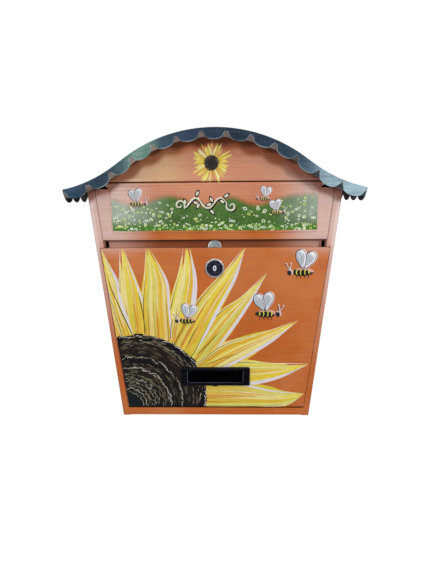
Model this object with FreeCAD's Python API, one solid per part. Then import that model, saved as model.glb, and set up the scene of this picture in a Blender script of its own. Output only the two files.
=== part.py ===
import FreeCAD, Part
import math
import os

# A wall letter box of folded sheet steel: a tapered body under an arched, scalloped roof,
# a letter flap hinged at its top edge, and a lockable door hinged at its bottom edge.
# The front faces -Y and the wall is the plane y = 0. Heights are counted from the underside of
# the body, and the finished parts are lowered so that the origin is the centre of the wall screws.

V = FreeCAD.Vector

# ---- driving dimensions, millimetres and degrees ----
SHEET = 0.8                 # sheet thickness of every folded panel
BEND = 0.8                  # inside radius of a fold
BODY_DEPTH = 98.0           # wall to front face
BODY_BASE_WIDTH = 249.0     # outside width at the underside
BODY_TAPER = 5.65           # lean of each side from the vertical
EAVE_HEIGHT = 297.0         # underside of the body to the tips of the roof

ROOF_RISE = 67.0            # eave tips to the crown
ROOF_SIDE_OVERHANG = 22.0   # past the body's sides, at eave height
ROOF_FRONT_OVERHANG = 19.6  # past the body's front
ROOF_SLOPE = 13.95          # steepest slope, over that of the line from crown to eave tip
ROOF_STRAIGHT = 16.3        # flat run between crown and flare
ROOF_EAVE_SLOPE = 9.55      # slope at the eave tips, short of that of the same line
FRONT_TABS = 13
SIDE_TABS = 4
FRONT_TAB_DEPTH = 13.0
FRONT_TAB_RISE = 6.5        # height of each scallop's arc
SIDE_TAB_DEPTH = 15.0
SIDE_TAB_RISE = 7.5
RELIEF_DEPTH = 2.4          # sheet left above the tip of each V relief
RELIEF_WIDTH = 6.5          # half of the V's width where the tabs end
EDGE_STRIP_DEPTH = 10.2     # lower edge of the strip behind the tabs, below the roof's top side

STRIP = 9.5                 # visible front strip beside the flap
DOOR_STRIP_TOP = 4.2        # visible strip beside the door, at its top
DOOR_STRIP_BOTTOM = 8.2     # and at its bottom
BACK_FLANGE = 12.0

DOOR_BOTTOM = 11.5
DOOR_TOP = 225.7
FLAP_BOTTOM = 236.3
FLAP_AXIS_HEIGHT = 302.2
PANEL_GAP = 0.8             # gap round the door and the flap
PANEL_PROUD = 0.4           # door and flap stand this far in front of the body
DOOR_FOLD = 8.0
FLAP_FOLD = 6.0

LINTEL_RECESS = 12.5        # front face of the band behind the body's front
LINTEL_HEIGHT = 28.0
LINTEL_FLANGE = 12.0
LINTEL_HOLE_WIDTH = 8.0
LINTEL_HOLE_HEIGHT = 7.8
LINTEL_HOLE_REACH = 4.4     # past the edge of the strip in front of it

GABLE_FLANGE = 10.0
FIELD_WIDTH = 250.0         # raised field on the flap
FIELD_HEIGHT = 54.6
FIELD_RAISE = 1.2
FIELD_CORNER = 6.0
FIELD_TOP_MARGIN = 2.2      # below the flap's axis

FLAP_ROD_RADIUS = 1.5
DOOR_PIN_RADIUS = 2.0
RUNNING = 0.05              # radial clearance of every turning fit
LUG_X = 128.0               # inside face of each rod lug, from the middle
LUG_THICKNESS = 1.5
CAP_LENGTH = 1.6

LOCK_DROP = 25.1            # lock centre below the door's top edge
BEZEL_RADIUS = 12.2
BEZEL_HEIGHT = 1.8
BARREL_RADIUS = 10.2
PLUG_RADIUS = 9.0
PLUG_SUNK = 0.7             # plug face behind the bezel's rim
KEYWAY_HEIGHT = 11.0
KEYWAY_WIDTH = 2.2
BARREL_LENGTH = 8.6         # behind the door's front face
NUT_ACROSS = 25.0
NUT_HEIGHT = 3.2
CAM_LENGTH = 34.2           # lock centre to the tip
CAM_WIDTH = 17.4
CAM_THICKNESS = 2.0
CAM_SETBACK = 9.8           # door's front face to the cam's front face
SPINDLE = 7.0
SCREW_RADIUS = 2.0
SCREW_HEAD_RADIUS = 3.8
WASHER_RADIUS = 5.5
WASHER_THICKNESS = 0.8

PLATE_WIDTH = 90.0          # name-plate frame
PLATE_HEIGHT = 25.0
PLATE_BOTTOM = 32.6         # above the door's bottom edge
PLATE_THICKNESS = 3.6
PLATE_WINDOW_WIDTH = 76.0
PLATE_WINDOW_HEIGHT = 17.0
PEG_RADIUS = 2.0
PEG_SPACING = 84.0

WALL_HOLE_RADIUS = 3.0
WALL_HOLES_X = 160.0
WALL_HOLES_Z = 180.0
WALL_HOLES_HEIGHT = 150.0   # centre of the wall screws above the underside
DRAIN_RADIUS = 2.5

BRACKET_WIDTH = 24.0
BRACKET_LEG = 13.0
BRACKET_X = (-80.0, 0.0, 80.0)
RIVET_RADIUS = 2.0
RIVET_HEAD_RADIUS = 4.0
FIT = 0.05                  # between pieces that are fixed together on a curve

# ---- places that follow from them ----
FRONT = -BODY_DEPTH
PANEL_FRONT = FRONT - PANEL_PROUD
SLOPE = math.tan(math.radians(BODY_TAPER))
ROOF_FRONT = FRONT - ROOF_FRONT_OVERHANG
LINTEL_Y = FRONT + LINTEL_RECESS
LINTEL_MIDDLE = (DOOR_TOP + FLAP_BOTTOM) / 2 - 2.0
KNUCKLE = FLAP_ROD_RADIUS + RUNNING + SHEET
FLAP_AXIS_Y = PANEL_FRONT + KNUCKLE
DOOR_ROLL = DOOR_PIN_RADIUS + RUNNING + SHEET
DOOR_AXIS_Y = PANEL_FRONT + DOOR_ROLL
DOOR_AXIS_Z = DOOR_BOTTOM + DOOR_ROLL
LOCK_Z = DOOR_TOP - LOCK_DROP
GABLE_BOTTOM = FLAP_AXIS_HEIGHT + KNUCKLE + 1.2
TALL = EAVE_HEIGHT + ROOF_RISE


def body_half(z):
    """Half of the body's outside width at height z."""
    return BODY_BASE_WIDTH / 2 + SLOPE * z


def door_opening_half(z):
    """Half of the door opening: the strip beside it narrows towards the top."""
    share = (z - DOOR_BOTTOM) / (DOOR_TOP - DOOR_BOTTOM)
    strip = DOOR_STRIP_BOTTOM + share * (DOOR_STRIP_TOP - DOOR_STRIP_BOTTOM)
    return body_half(z) - strip


def flap_opening_half(z):
    """Half of the flap opening, parallel to the body's side."""
    return body_half(z) - STRIP


# ---- shapes that many pieces share ----
def block(x0, x1, y0, y1, z0, z1):
    return Part.makeBox(x1 - x0, y1 - y0, z1 - z0, V(x0, y0, z0))


def rod_y(radius, y0, y1, x, z):
    return Part.makeCylinder(radius, y1 - y0, V(x, y0, z), V(0, 1, 0))


def rod_x(radius, x0, x1, y, z):
    return Part.makeCylinder(radius, x1 - x0, V(x0, y, z), V(1, 0, 0))


def front_prism(points, y0, y1):
    """A plate with the outline points (x, z), from y0 to y1."""
    loop = [V(x, y0, z) for x, z in points]
    return Part.Face(Part.makePolygon(loop + loop[:1])).extrude(V(0, y1 - y0, 0))


def symmetric(points):
    """An outline from its right-hand points, listed bottom to top, and their mirror images."""
    return points + [(-x, z) for x, z in reversed(points)]


def mirrored(shape):
    return shape.mirror(V(0, 0, 0), V(1, 0, 0))


def folded(path, to_space):
    """A face of folded sheet: path is one side of it, and the sheet lies on the left of the path."""
    count = len(path)
    ways = []
    for (a0, b0), (a1, b1) in zip(path, path[1:]):
        length = math.hypot(a1 - a0, b1 - b0)
        ways.append(((a1 - a0) / length, (b1 - b0) / length))
    near, far = [], []

    def start(i, way, offset):
        return (path[i][0] - way[1] * offset, path[i][1] + way[0] * offset)

    near_at, far_at = start(0, ways[0], 0), start(0, ways[0], SHEET)
    for i in range(1, count - 1):
        d1, d2 = ways[i - 1], ways[i]
        turn = math.atan2(d1[0] * d2[1] - d1[1] * d2[0], d1[0] * d2[0] + d1[1] * d2[1])
        side = 1 if turn > 0 else -1
        near_r = BEND + SHEET if side > 0 else BEND
        cut = near_r * math.tan(abs(turn) / 2)
        entry = (path[i][0] - d1[0] * cut, path[i][1] - d1[1] * cut)
        centre = (entry[0] - d1[1] * near_r * side, entry[1] + d1[0] * near_r * side)
        for line, radius in ((near, near_r), (far, near_r - side * SHEET)):
            r1 = (d1[1] * radius * side, -d1[0] * radius * side)
            r2 = (d2[1] * radius * side, -d2[0] * radius * side)
            mid = (r1[0] + r2[0], r1[1] + r2[1])
            scale = radius / math.hypot(*mid)
            a = (centre[0] + r1[0], centre[1] + r1[1])
            m = (centre[0] + mid[0] * scale, centre[1] + mid[1] * scale)
            b = (centre[0] + r2[0], centre[1] + r2[1])
            at = near_at if line is near else far_at
            line.append(Part.makeLine(to_space(*at), to_space(*a)))
            line.append(Part.Arc(to_space(*a), to_space(*m), to_space(*b)).toShape())
            if line is near:
                near_at = b
            else:
                far_at = b
    near_end, far_end = start(-1, ways[-1], 0), start(-1, ways[-1], SHEET)
    near.append(Part.makeLine(to_space(*near_at), to_space(*near_end)))
    far.append(Part.makeLine(to_space(*far_at), to_space(*far_end)))
    caps = [
        Part.makeLine(to_space(*near_end), to_space(*far_end)),
        Part.makeLine(to_space(*start(0, ways[0], SHEET)), to_space(*start(0, ways[0], 0))),
    ]
    return Part.Face(Part.Wire(Part.__sortEdges__(near + far + caps)))


# ---- the roof's curve ----
ROOF_HALF = body_half(EAVE_HEIGHT) + ROOF_SIDE_OVERHANG
CHORD = math.atan2(ROOF_RISE, ROOF_HALF)
STEEP = CHORD + math.radians(ROOF_SLOPE)
EAVE = CHORD - math.radians(ROOF_EAVE_SLOPE)


def roof_radii():
    """Crown and flare radii that reach the eave tip at the given slopes."""
    across = ROOF_HALF - ROOF_STRAIGHT * math.cos(STEEP)
    drop = ROOF_RISE - ROOF_STRAIGHT * math.sin(STEEP)
    a11, a12 = math.sin(STEEP), math.sin(STEEP) - math.sin(EAVE)
    a21, a22 = 1 - math.cos(STEEP), math.cos(EAVE) - math.cos(STEEP)
    det = a11 * a22 - a12 * a21
    return (across * a22 - a12 * drop) / det, (a11 * drop - across * a21) / det


CROWN_R, FLARE_R = roof_radii()
CROWN_RUN = CROWN_R * STEEP
FLARE_RUN = FLARE_R * (STEEP - EAVE)
HALF_RUN = CROWN_RUN + ROOF_STRAIGHT + FLARE_RUN


def roof_at(run, depth=0.0):
    """Point (x, z) and slope of the roof's curve, run along it from the crown, depth below it."""
    side = -1 if run < 0 else 1
    run = abs(run)
    crown_z = TALL - CROWN_R
    if run <= CROWN_RUN:
        slope = run / CROWN_R
        x, z = CROWN_R * math.sin(slope), crown_z + CROWN_R * math.cos(slope)
    elif run <= CROWN_RUN + ROOF_STRAIGHT:
        slope = STEEP
        along = run - CROWN_RUN
        x = CROWN_R * math.sin(slope) + along * math.cos(slope)
        z = crown_z + CROWN_R * math.cos(slope) - along * math.sin(slope)
    else:
        slope = STEEP - (run - CROWN_RUN - ROOF_STRAIGHT) / FLARE_R
        bend_x, bend_z, _ = roof_at(CROWN_RUN + ROOF_STRAIGHT)
        x = bend_x + FLARE_R * (math.sin(STEEP) - math.sin(slope))
        z = bend_z - FLARE_R * (math.cos(slope) - math.cos(STEEP))
    return side * (x - depth * math.sin(slope)), z - depth * math.cos(slope), side * slope


def roof_edges(depth, y):
    """The roof's curve as three arcs and two lines, left to right, at a depth below the top."""
    def at(run):
        x, z, _ = roof_at(run, depth)
        return V(x, y, z)

    bend, flare = CROWN_RUN, CROWN_RUN + ROOF_STRAIGHT
    mid = (flare + HALF_RUN) / 2
    return [
        Part.Arc(at(-HALF_RUN), at(-mid), at(-flare)).toShape(),
        Part.makeLine(at(-flare), at(-bend)),
        Part.Arc(at(-bend), at(0), at(bend)).toShape(),
        Part.makeLine(at(bend), at(flare)),
        Part.Arc(at(flare), at(mid), at(HALF_RUN)).toShape(),
    ]


def roof_layer(top, bottom, y0, y1):
    """The sheet between two depths below the roof's curve."""
    upper, lower = roof_edges(top, y0), roof_edges(bottom, y0)
    ends = [
        Part.makeLine(upper[0].Vertexes[0].Point, lower[0].Vertexes[0].Point),
        Part.makeLine(upper[-1].Vertexes[-1].Point, lower[-1].Vertexes[-1].Point),
    ]
    wire = Part.Wire(Part.__sortEdges__(upper + lower + ends))
    return Part.Face(wire).extrude(V(0, y1 - y0, 0))


def below_roof(depth, y0, y1):
    """Everything under the roof's curve, for trimming the panels that reach it."""
    upper = roof_edges(depth, y0)
    left, right = upper[0].Vertexes[0].Point, upper[-1].Vertexes[-1].Point
    low = -20.0
    lines = [
        Part.makeLine(left, V(left.x, y0, low)),
        Part.makeLine(V(left.x, y0, low), V(right.x, y0, low)),
        Part.makeLine(V(right.x, y0, low), right),
    ]
    wire = Part.Wire(Part.__sortEdges__(upper + lines))
    return Part.Face(wire).extrude(V(0, y1 - y0, 0))


PANEL_TRIM = below_roof(SHEET + FIT, FRONT - 10, 10)


# ---- the roof ----
def scallop_radius(pitch, rise):
    return ((pitch / 2) ** 2 + rise ** 2) / (2 * rise)


def front_skirt():
    pitch = 2 * HALF_RUN / FRONT_TABS
    radius = scallop_radius(pitch, FRONT_TAB_RISE)
    back = ROOF_FRONT + SHEET
    tabs = []
    for k in range(FRONT_TABS):
        run = -HALF_RUN + (k + 0.5) * pitch
        x, z, _ = roof_at(run, FRONT_TAB_DEPTH - radius)
        tabs.append(rod_y(radius, ROOF_FRONT, back, x, z))
    skirt = roof_layer(0, FRONT_TAB_DEPTH + 1, ROOF_FRONT, back).common(tabs[0].multiFuse(tabs[1:]))
    reliefs = []
    for k in range(1, FRONT_TABS):
        run = -HALF_RUN + k * pitch
        deep = FRONT_TAB_DEPTH
        corners = [roof_at(run, RELIEF_DEPTH)[:2]]
        corners += [roof_at(run + s * RELIEF_WIDTH, deep)[:2] for s in (1, -1)]
        reliefs.append(front_prism(corners, ROOF_FRONT - 1, back + 1))
    return skirt.cut(reliefs)


def roof_edge_strip():
    """The plain strip behind the front tabs, seen through the V reliefs."""
    y0 = ROOF_FRONT + SHEET + FIT
    reach = ROOF_HALF - SHEET - FIT
    strip = roof_layer(SHEET + FIT, EDGE_STRIP_DEPTH, y0, y0 + SHEET)
    return strip.common(block(-reach, reach, y0 - 1, y0 + 2, 0, TALL))


def side_skirt():
    depth = -ROOF_FRONT
    pitch = depth / SIDE_TABS
    radius = scallop_radius(pitch, SIDE_TAB_RISE)
    x1, top, _ = roof_at(HALF_RUN)
    x0 = x1 - SHEET
    tabs = []
    for k in range(SIDE_TABS):
        y = ROOF_FRONT + (k + 0.5) * pitch
        tabs.append(rod_x(radius, x0, x1, y, top - SIDE_TAB_DEPTH + radius))
    band = block(x0, x1, ROOF_FRONT, 0, top - SIDE_TAB_DEPTH, top - SHEET / 2)
    return band.common(tabs[0].multiFuse(tabs[1:]))


def roof():
    sheet = roof_layer(0, SHEET, ROOF_FRONT, 0)
    right = side_skirt()
    sheet = sheet.multiFuse([front_skirt(), right, mirrored(right)])
    return sheet.cut([rivet_hole(x, y) for x, y in rivet_places()])


def rivet_places():
    rows = (FRONT + SHEET + BRACKET_LEG * 0.6, -SHEET - BRACKET_LEG * 0.6)
    return [(x, y) for y in rows for x in BRACKET_X]


def crown_run_at(x):
    return CROWN_R * math.asin(x / CROWN_R)


def rivet_axis(x):
    px, pz, slope = roof_at(crown_run_at(x))
    return V(px, 0, pz), V(math.sin(slope), 0, math.cos(slope))


def rivet_hole(x, y):
    top, up = rivet_axis(x)
    start = top - up * 6 + V(0, y, 0)
    return Part.makeCylinder(RIVET_RADIUS + FIT, 12, start, up)


def rivet(x, y):
    top, up = rivet_axis(x)
    seat = top + up * FIT + V(0, y, 0)
    length = 2 * SHEET + 3 * FIT
    shank = Part.makeCylinder(RIVET_RADIUS, length, seat - up * length, up)
    tail = Part.makeCylinder(RIVET_RADIUS + 1.2, 1.4, seat - up * (length + 1.4), up)
    dome_r = (RIVET_HEAD_RADIUS ** 2 + 1.2 ** 2) / 2.4
    ball = Part.makeSphere(dome_r, seat - up * (dome_r - 1.2))
    head = Part.makeCylinder(RIVET_HEAD_RADIUS, 2, seat, up).common(ball)
    return shank.multiFuse([tail, head])


def roof_rivets():
    return Part.makeCompound([rivet(x, y) for x, y in rivet_places()])


def roof_brackets(wall_y, inward):
    """Three folded brackets: one leg on the panel at wall_y, the other under the roof."""
    leg_far = wall_y + inward * BRACKET_LEG
    plate_far = wall_y + inward * SHEET
    shelf = roof_layer(SHEET + FIT, 2 * SHEET + FIT, min(wall_y, leg_far), max(wall_y, leg_far))
    trim = below_roof(SHEET + FIT, min(wall_y, leg_far), max(wall_y, leg_far))
    brackets = []
    for x in BRACKET_X:
        x0, x1 = x - BRACKET_WIDTH / 2, x + BRACKET_WIDTH / 2
        middle = roof_at(crown_run_at(x))[1]
        top = shelf.common(block(x0, x1, -BODY_DEPTH, 0, 0, TALL))
        leg = block(x0, x1, min(wall_y, plate_far), max(wall_y, plate_far), middle - 22, TALL)
        bracket = top.fuse(leg.common(trim))
        holes = [rivet_hole(px, py) for px, py in rivet_places()]
        brackets.append(bracket.cut(holes))
    return Part.makeCompound(brackets)


# ---- the body ----
def side_panel():
    """The right-hand side: back flange, wall and front strip folded from one sheet, with return lips."""
    low, high = -10.0, TALL

    def at_low(x, y):
        return V(body_half(low) + x, y, low)

    path = [(-BACK_FLANGE, -SHEET), (0, -SHEET), (0, FRONT), (-STRIP, FRONT)]
    turned = [(x, y) for x, y in reversed(path)]
    sheet = folded(turned, at_low).extrude(V(SLOPE * (high - low), 0, high - low))
    door_cut = front_prism(opening_outline(), FRONT - 1, FRONT + SHEET + 0.01)
    panel = sheet.cut(door_cut)
    lips = [lip(door_opening_half, DOOR_BOTTOM - 6, DOOR_TOP + PANEL_GAP)]
    lips.append(lip(flap_opening_half, DOOR_TOP + PANEL_GAP, EAVE_HEIGHT + 2))
    panel = panel.multiFuse(lips)
    pin = rod_x(DOOR_PIN_RADIUS + FIT, 0, body_half(0) - 1, DOOR_AXIS_Y, DOOR_AXIS_Z)
    room = block(0, BODY_BASE_WIDTH, FRONT - 1, 1, 0, TALL)
    return panel.cut(pin).common(room).common(PANEL_TRIM)


def opening_outline():
    """Outline of the part of the strip that is cut away for the door, right-hand side."""
    low, high = DOOR_BOTTOM - PANEL_GAP, DOOR_TOP + PANEL_GAP
    return [
        (door_opening_half(low) - 30, low),
        (door_opening_half(low), low),
        (door_opening_half(high), high),
        (door_opening_half(high) - 30, high),
    ]


def lip(half, z0, z1):
    """The strip's edge folded back to the depth of the band."""
    outline = [
        (half(z0), z0),
        (half(z0) + SHEET, z0),
        (half(z1) + SHEET, z1),
        (half(z1), z1),
    ]
    return front_prism(outline, FRONT, LINTEL_Y)


def back_panel():
    high = TALL
    outline = symmetric([(body_half(0), 0), (body_half(high), high)])
    plate = front_prism(outline, -SHEET, 0).common(PANEL_TRIM)
    holes = []
    for sx in (-1, 1):
        for sz in (-1, 1):
            x = sx * WALL_HOLES_X / 2
            z = WALL_HOLES_HEIGHT + sz * WALL_HOLES_Z / 2
            holes.append(rod_y(WALL_HOLE_RADIUS, -5, 5, x, z))
    return plate.cut(holes)


def bottom_panel():
    """Floor, front strip and back flange in one folded sheet."""
    strip_top = DOOR_BOTTOM - PANEL_GAP
    path = [(FRONT, strip_top), (FRONT, 0), (-SHEET - BEND, 0), (-SHEET - BEND, BACK_FLANGE)]
    half = body_half(0)
    face = folded(path, lambda y, z: V(-half, y, z))
    sheet = face.extrude(V(2 * half, 0, 0))
    inside = [(body_half(0) - SHEET - FIT, 0), (body_half(20) - SHEET - FIT, 20)]
    strip = [(body_half(0) - STRIP - FIT, 0), (body_half(20) - STRIP - FIT, 20)]
    floor = front_prism(symmetric(inside), FRONT + SHEET + BEND, 0)
    front = front_prism(symmetric(strip), FRONT - 1, FRONT + SHEET + BEND)
    rear = front_prism(symmetric([(x - BACK_FLANGE, z) for x, z in inside]), -6, 1)
    rear_all = block(-half, half, -SHEET - BEND - SHEET - 0.01, 1, SHEET, 40)
    sheet = sheet.common(floor.fuse(front)).cut(rear_all.cut(rear))
    drains = []
    for sx in (-1, 1):
        for y in (FRONT * 0.3, FRONT * 0.7):
            x = sx * BODY_BASE_WIDTH * 0.35
            drains.append(Part.makeCylinder(DRAIN_RADIUS, 4, V(x, y, -2)))
    return sheet.cut(drains)


def lintel():
    """The recessed band: a channel open towards the back, with a square hole near each end."""
    z0 = LINTEL_MIDDLE - LINTEL_HEIGHT / 2
    z1 = LINTEL_MIDDLE + LINTEL_HEIGHT / 2
    path = [
        (LINTEL_Y + LINTEL_FLANGE, z1),
        (LINTEL_Y, z1),
        (LINTEL_Y, z0),
        (LINTEL_Y + LINTEL_FLANGE / 2, z0),
    ]
    half = body_half(z1)
    band = folded(path, lambda y, z: V(-half, y, z)).extrude(V(2 * half, 0, 0))
    outline = [(body_half(z) - SHEET - FIT, z) for z in (z0 - 1, z1 + 1)]
    band = band.common(front_prism(symmetric(outline), LINTEL_Y - 1, 0))
    hole_z = LINTEL_MIDDLE
    x1 = flap_opening_half(hole_z) + LINTEL_HOLE_REACH
    x0 = x1 - LINTEL_HOLE_WIDTH
    hole = block(x0, x1, LINTEL_Y - 1, LINTEL_Y + 2, hole_z - LINTEL_HOLE_HEIGHT / 2,
                 hole_z + LINTEL_HOLE_HEIGHT / 2)
    return band.cut([hole, mirrored(hole)])


def gable_panel():
    """The arched front above the flap, its lower edge folded back."""
    half = BODY_BASE_WIDTH
    path = [(FRONT + GABLE_FLANGE, GABLE_BOTTOM), (FRONT, GABLE_BOTTOM), (FRONT, TALL)]
    turned = list(reversed(path))
    sheet = folded(turned, lambda y, z: V(-half, y, z)).extrude(V(2 * half, 0, 0))
    reach = [(flap_opening_half(z) - PANEL_GAP, z) for z in (GABLE_BOTTOM, TALL)]
    return sheet.common(front_prism(symmetric(reach), FRONT, 0)).common(PANEL_TRIM)


# ---- the letter flap ----
def flap_outline():
    z1 = FLAP_AXIS_HEIGHT
    return symmetric([(flap_opening_half(z) - PANEL_GAP, z) for z in (FLAP_BOTTOM, z1)])


def side_fold(half, z0, z1, depth):
    """The right-hand folded edge of a panel."""
    outline = [(half(z0), z0), (half(z1), z1), (half(z1) - SHEET, z1), (half(z0) - SHEET, z0)]
    return front_prism(outline, PANEL_FRONT, PANEL_FRONT + depth)


def rounded_field(width, height, corner, y0, y1, grow):
    """A pressed field: a frustum that spreads by grow from y1 back to y0."""
    wires = []
    for y, extra in ((y0, grow), (y1, 0.0)):
        w, h, r = width / 2 + extra, height / 2 + extra, corner + extra
        middle = FLAP_AXIS_HEIGHT - FIELD_TOP_MARGIN - height / 2
        edges = []
        corners = [(w - r, h - r, 0), (r - w, h - r, 90), (r - w, r - h, 180), (w - r, r - h, 270)]
        ends = []
        for cx, cz, turn in corners:
            def at(deg):
                a = math.radians(deg)
                return V(cx + r * math.cos(a), y, middle + cz + r * math.sin(a))
            edges.append(Part.Arc(at(turn), at(turn + 45), at(turn + 90)).toShape())
            ends.append((at(turn), at(turn + 90)))
        for i in range(4):
            edges.append(Part.makeLine(ends[i][1], ends[(i + 1) % 4][0]))
        wires.append(Part.Wire(Part.__sortEdges__(edges)))
    return Part.makeLoft(wires, True, True)


def letter_flap():
    def half(z):
        return flap_opening_half(z) - PANEL_GAP

    plate_back = PANEL_FRONT + SHEET
    top = FLAP_AXIS_HEIGHT
    plate = front_prism(flap_outline(), PANEL_FRONT, plate_back)
    right = side_fold(half, FLAP_BOTTOM, top - 2 * KNUCKLE, FLAP_FOLD)
    low = front_prism(symmetric([(half(z), z) for z in (FLAP_BOTTOM, FLAP_BOTTOM + SHEET)]),
                      PANEL_FRONT, PANEL_FRONT + FLAP_FOLD)
    raised = rounded_field(FIELD_WIDTH, FIELD_HEIGHT, FIELD_CORNER,
                           PANEL_FRONT, PANEL_FRONT - FIELD_RAISE, FIELD_RAISE)
    hollow = rounded_field(FIELD_WIDTH, FIELD_HEIGHT, FIELD_CORNER,
                           plate_back, plate_back - FIELD_RAISE, FIELD_RAISE)
    flap = plate.multiFuse([right, mirrored(right), low, raised]).cut(hollow)
    reach = LUG_X - PANEL_GAP
    ring = rod_x(KNUCKLE, -reach, reach, FLAP_AXIS_Y, top)
    flap = flap.fuse(ring)
    bore = rod_x(FLAP_ROD_RADIUS + RUNNING, -reach - 1, reach + 1, FLAP_AXIS_Y, top)
    open_side = block(-reach - 1, reach + 1, FLAP_AXIS_Y - 0.6, FLAP_AXIS_Y + 1.0,
                      top - KNUCKLE - 0.2, top - FLAP_ROD_RADIUS + 0.4)
    corner = block(reach, BODY_BASE_WIDTH, PANEL_FRONT - 1, 0, top - 2 * KNUCKLE, TALL)
    return flap.cut([bore, open_side, corner, mirrored(corner)])


def flap_rod():
    reach = LUG_X + LUG_THICKNESS + CAP_LENGTH - 0.3
    return rod_x(FLAP_ROD_RADIUS, -reach, reach, FLAP_AXIS_Y, FLAP_AXIS_HEIGHT)


def flap_rod_lugs():
    z0 = FLAP_AXIS_HEIGHT - 2 * FLAP_ROD_RADIUS
    back = FRONT + GABLE_FLANGE
    lug = block(LUG_X, LUG_X + LUG_THICKNESS, PANEL_FRONT, back, z0, GABLE_BOTTOM)
    lug = lug.cut(rod_x(FLAP_ROD_RADIUS + FIT, 0, BODY_BASE_WIDTH, FLAP_AXIS_Y, FLAP_AXIS_HEIGHT))
    return Part.makeCompound([lug, mirrored(lug)])


def flap_rod_caps():
    x0 = LUG_X + LUG_THICKNESS
    cap = rod_x(KNUCKLE, x0, x0 + CAP_LENGTH, FLAP_AXIS_Y, FLAP_AXIS_HEIGHT)
    bore = rod_x(FLAP_ROD_RADIUS + FIT, x0 - 1, x0 + CAP_LENGTH - 0.25, FLAP_AXIS_Y, FLAP_AXIS_HEIGHT)
    cap = cap.cut(bore)
    return Part.makeCompound([cap, mirrored(cap)])


# ---- the door ----
def door_half(z):
    return door_opening_half(z) - PANEL_GAP


def door_panel():
    plate_back = PANEL_FRONT + SHEET
    outline = symmetric([(door_half(z), z) for z in (DOOR_AXIS_Z, DOOR_TOP)])
    plate = front_prism(outline, PANEL_FRONT, plate_back)
    right = side_fold(door_half, DOOR_AXIS_Z, DOOR_TOP, DOOR_FOLD)
    top = front_prism(symmetric([(door_half(z), z) for z in (DOOR_TOP - SHEET, DOOR_TOP)]),
                      PANEL_FRONT, PANEL_FRONT + DOOR_FOLD)
    reach = door_half(DOOR_AXIS_Z)
    ring = rod_x(DOOR_ROLL, -reach, reach, DOOR_AXIS_Y, DOOR_AXIS_Z)
    bore = rod_x(DOOR_PIN_RADIUS + RUNNING, -reach - 1, reach + 1, DOOR_AXIS_Y, DOOR_AXIS_Z)
    cuts = [bore, rod_y(BARREL_RADIUS + FIT, FRONT - 3, FRONT + 3, 0, LOCK_Z)]
    cuts += [rod_y(PEG_RADIUS + FIT, FRONT - 3, FRONT + 3, x, plate_middle()) for x in peg_places()]
    return plate.multiFuse([right, mirrored(right), top, ring]).cut(cuts)


def door_pin():
    """A headed pin through the lip into the door's rolled edge, right-hand side."""
    lip_out = door_opening_half(DOOR_AXIS_Z) + SHEET
    shank = rod_x(DOOR_PIN_RADIUS, lip_out - 14, lip_out + 1, DOOR_AXIS_Y, DOOR_AXIS_Z)
    head = rod_x(DOOR_PIN_RADIUS + 0.6, lip_out + 0.4, lip_out + 1.6, DOOR_AXIS_Y, DOOR_AXIS_Z)
    strip = block(0, BODY_BASE_WIDTH, FRONT - 1, FRONT + SHEET, 0, TALL)
    return shank.fuse(head.cut(strip))


# ---- the lock ----
def lock_housing():
    rim = PANEL_FRONT - BEZEL_HEIGHT
    bezel = rod_y(BEZEL_RADIUS, rim, PANEL_FRONT, 0, LOCK_Z)
    edges = [e for e in bezel.Edges if abs(e.BoundBox.YMax - rim) < 0.01 and e.Length > 1]
    bezel = bezel.makeFillet(1.2, edges)
    barrel = rod_y(BARREL_RADIUS, PANEL_FRONT, PANEL_FRONT + BARREL_LENGTH, 0, LOCK_Z)
    bore = rod_y(PLUG_RADIUS + RUNNING, rim - 1, PANEL_FRONT + BARREL_LENGTH + 1, 0, LOCK_Z)
    return bezel.fuse(barrel).cut(bore)


def lock_nut():
    y0 = PANEL_FRONT + SHEET
    radius = NUT_ACROSS / math.sqrt(3)
    outline = []
    for k in range(6):
        angle = math.radians(60 * k)
        outline.append((radius * math.cos(angle), LOCK_Z + radius * math.sin(angle)))
    nut = front_prism(outline, y0, y0 + NUT_HEIGHT)
    return nut.cut(rod_y(BARREL_RADIUS + FIT, y0 - 1, y0 + NUT_HEIGHT + 1, 0, LOCK_Z))


def lock_plug():
    face = PANEL_FRONT - BEZEL_HEIGHT + PLUG_SUNK
    end = PANEL_FRONT + CAM_SETBACK
    plug = rod_y(PLUG_RADIUS, face, end - 0.4, 0, LOCK_Z)
    half = SPINDLE / 2
    spindle = block(-half, half, end - 1, end + CAM_THICKNESS, LOCK_Z - half, LOCK_Z + half)
    key = block(-KEYWAY_WIDTH / 2, KEYWAY_WIDTH / 2, face - 1, face + 5,
                LOCK_Z - KEYWAY_HEIGHT / 2, LOCK_Z + KEYWAY_HEIGHT / 2)
    thread = rod_y(SCREW_RADIUS + FIT, end - 4, end + 5, 0, LOCK_Z)
    return plug.fuse(spindle).cut([key, thread])


def lock_cam():
    y0 = PANEL_FRONT + CAM_SETBACK
    y1 = y0 + CAM_THICKNESS
    r = CAM_WIDTH / 2
    tip_z = LOCK_Z + CAM_LENGTH - r
    arm = block(-r, r, y0, y1, LOCK_Z, tip_z)
    cam = arm.multiFuse([rod_y(r, y0, y1, 0, tip_z), rod_y(r, y0, y1, 0, LOCK_Z)])
    half = SPINDLE / 2 + FIT
    return cam.cut(block(-half, half, y0 - 1, y1 + 1, LOCK_Z - half, LOCK_Z + half))


def cam_washer():
    y0 = PANEL_FRONT + CAM_SETBACK + CAM_THICKNESS
    washer = rod_y(WASHER_RADIUS, y0, y0 + WASHER_THICKNESS, 0, LOCK_Z)
    return washer.cut(rod_y(SCREW_RADIUS + FIT, y0 - 1, y0 + 2, 0, LOCK_Z))


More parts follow.
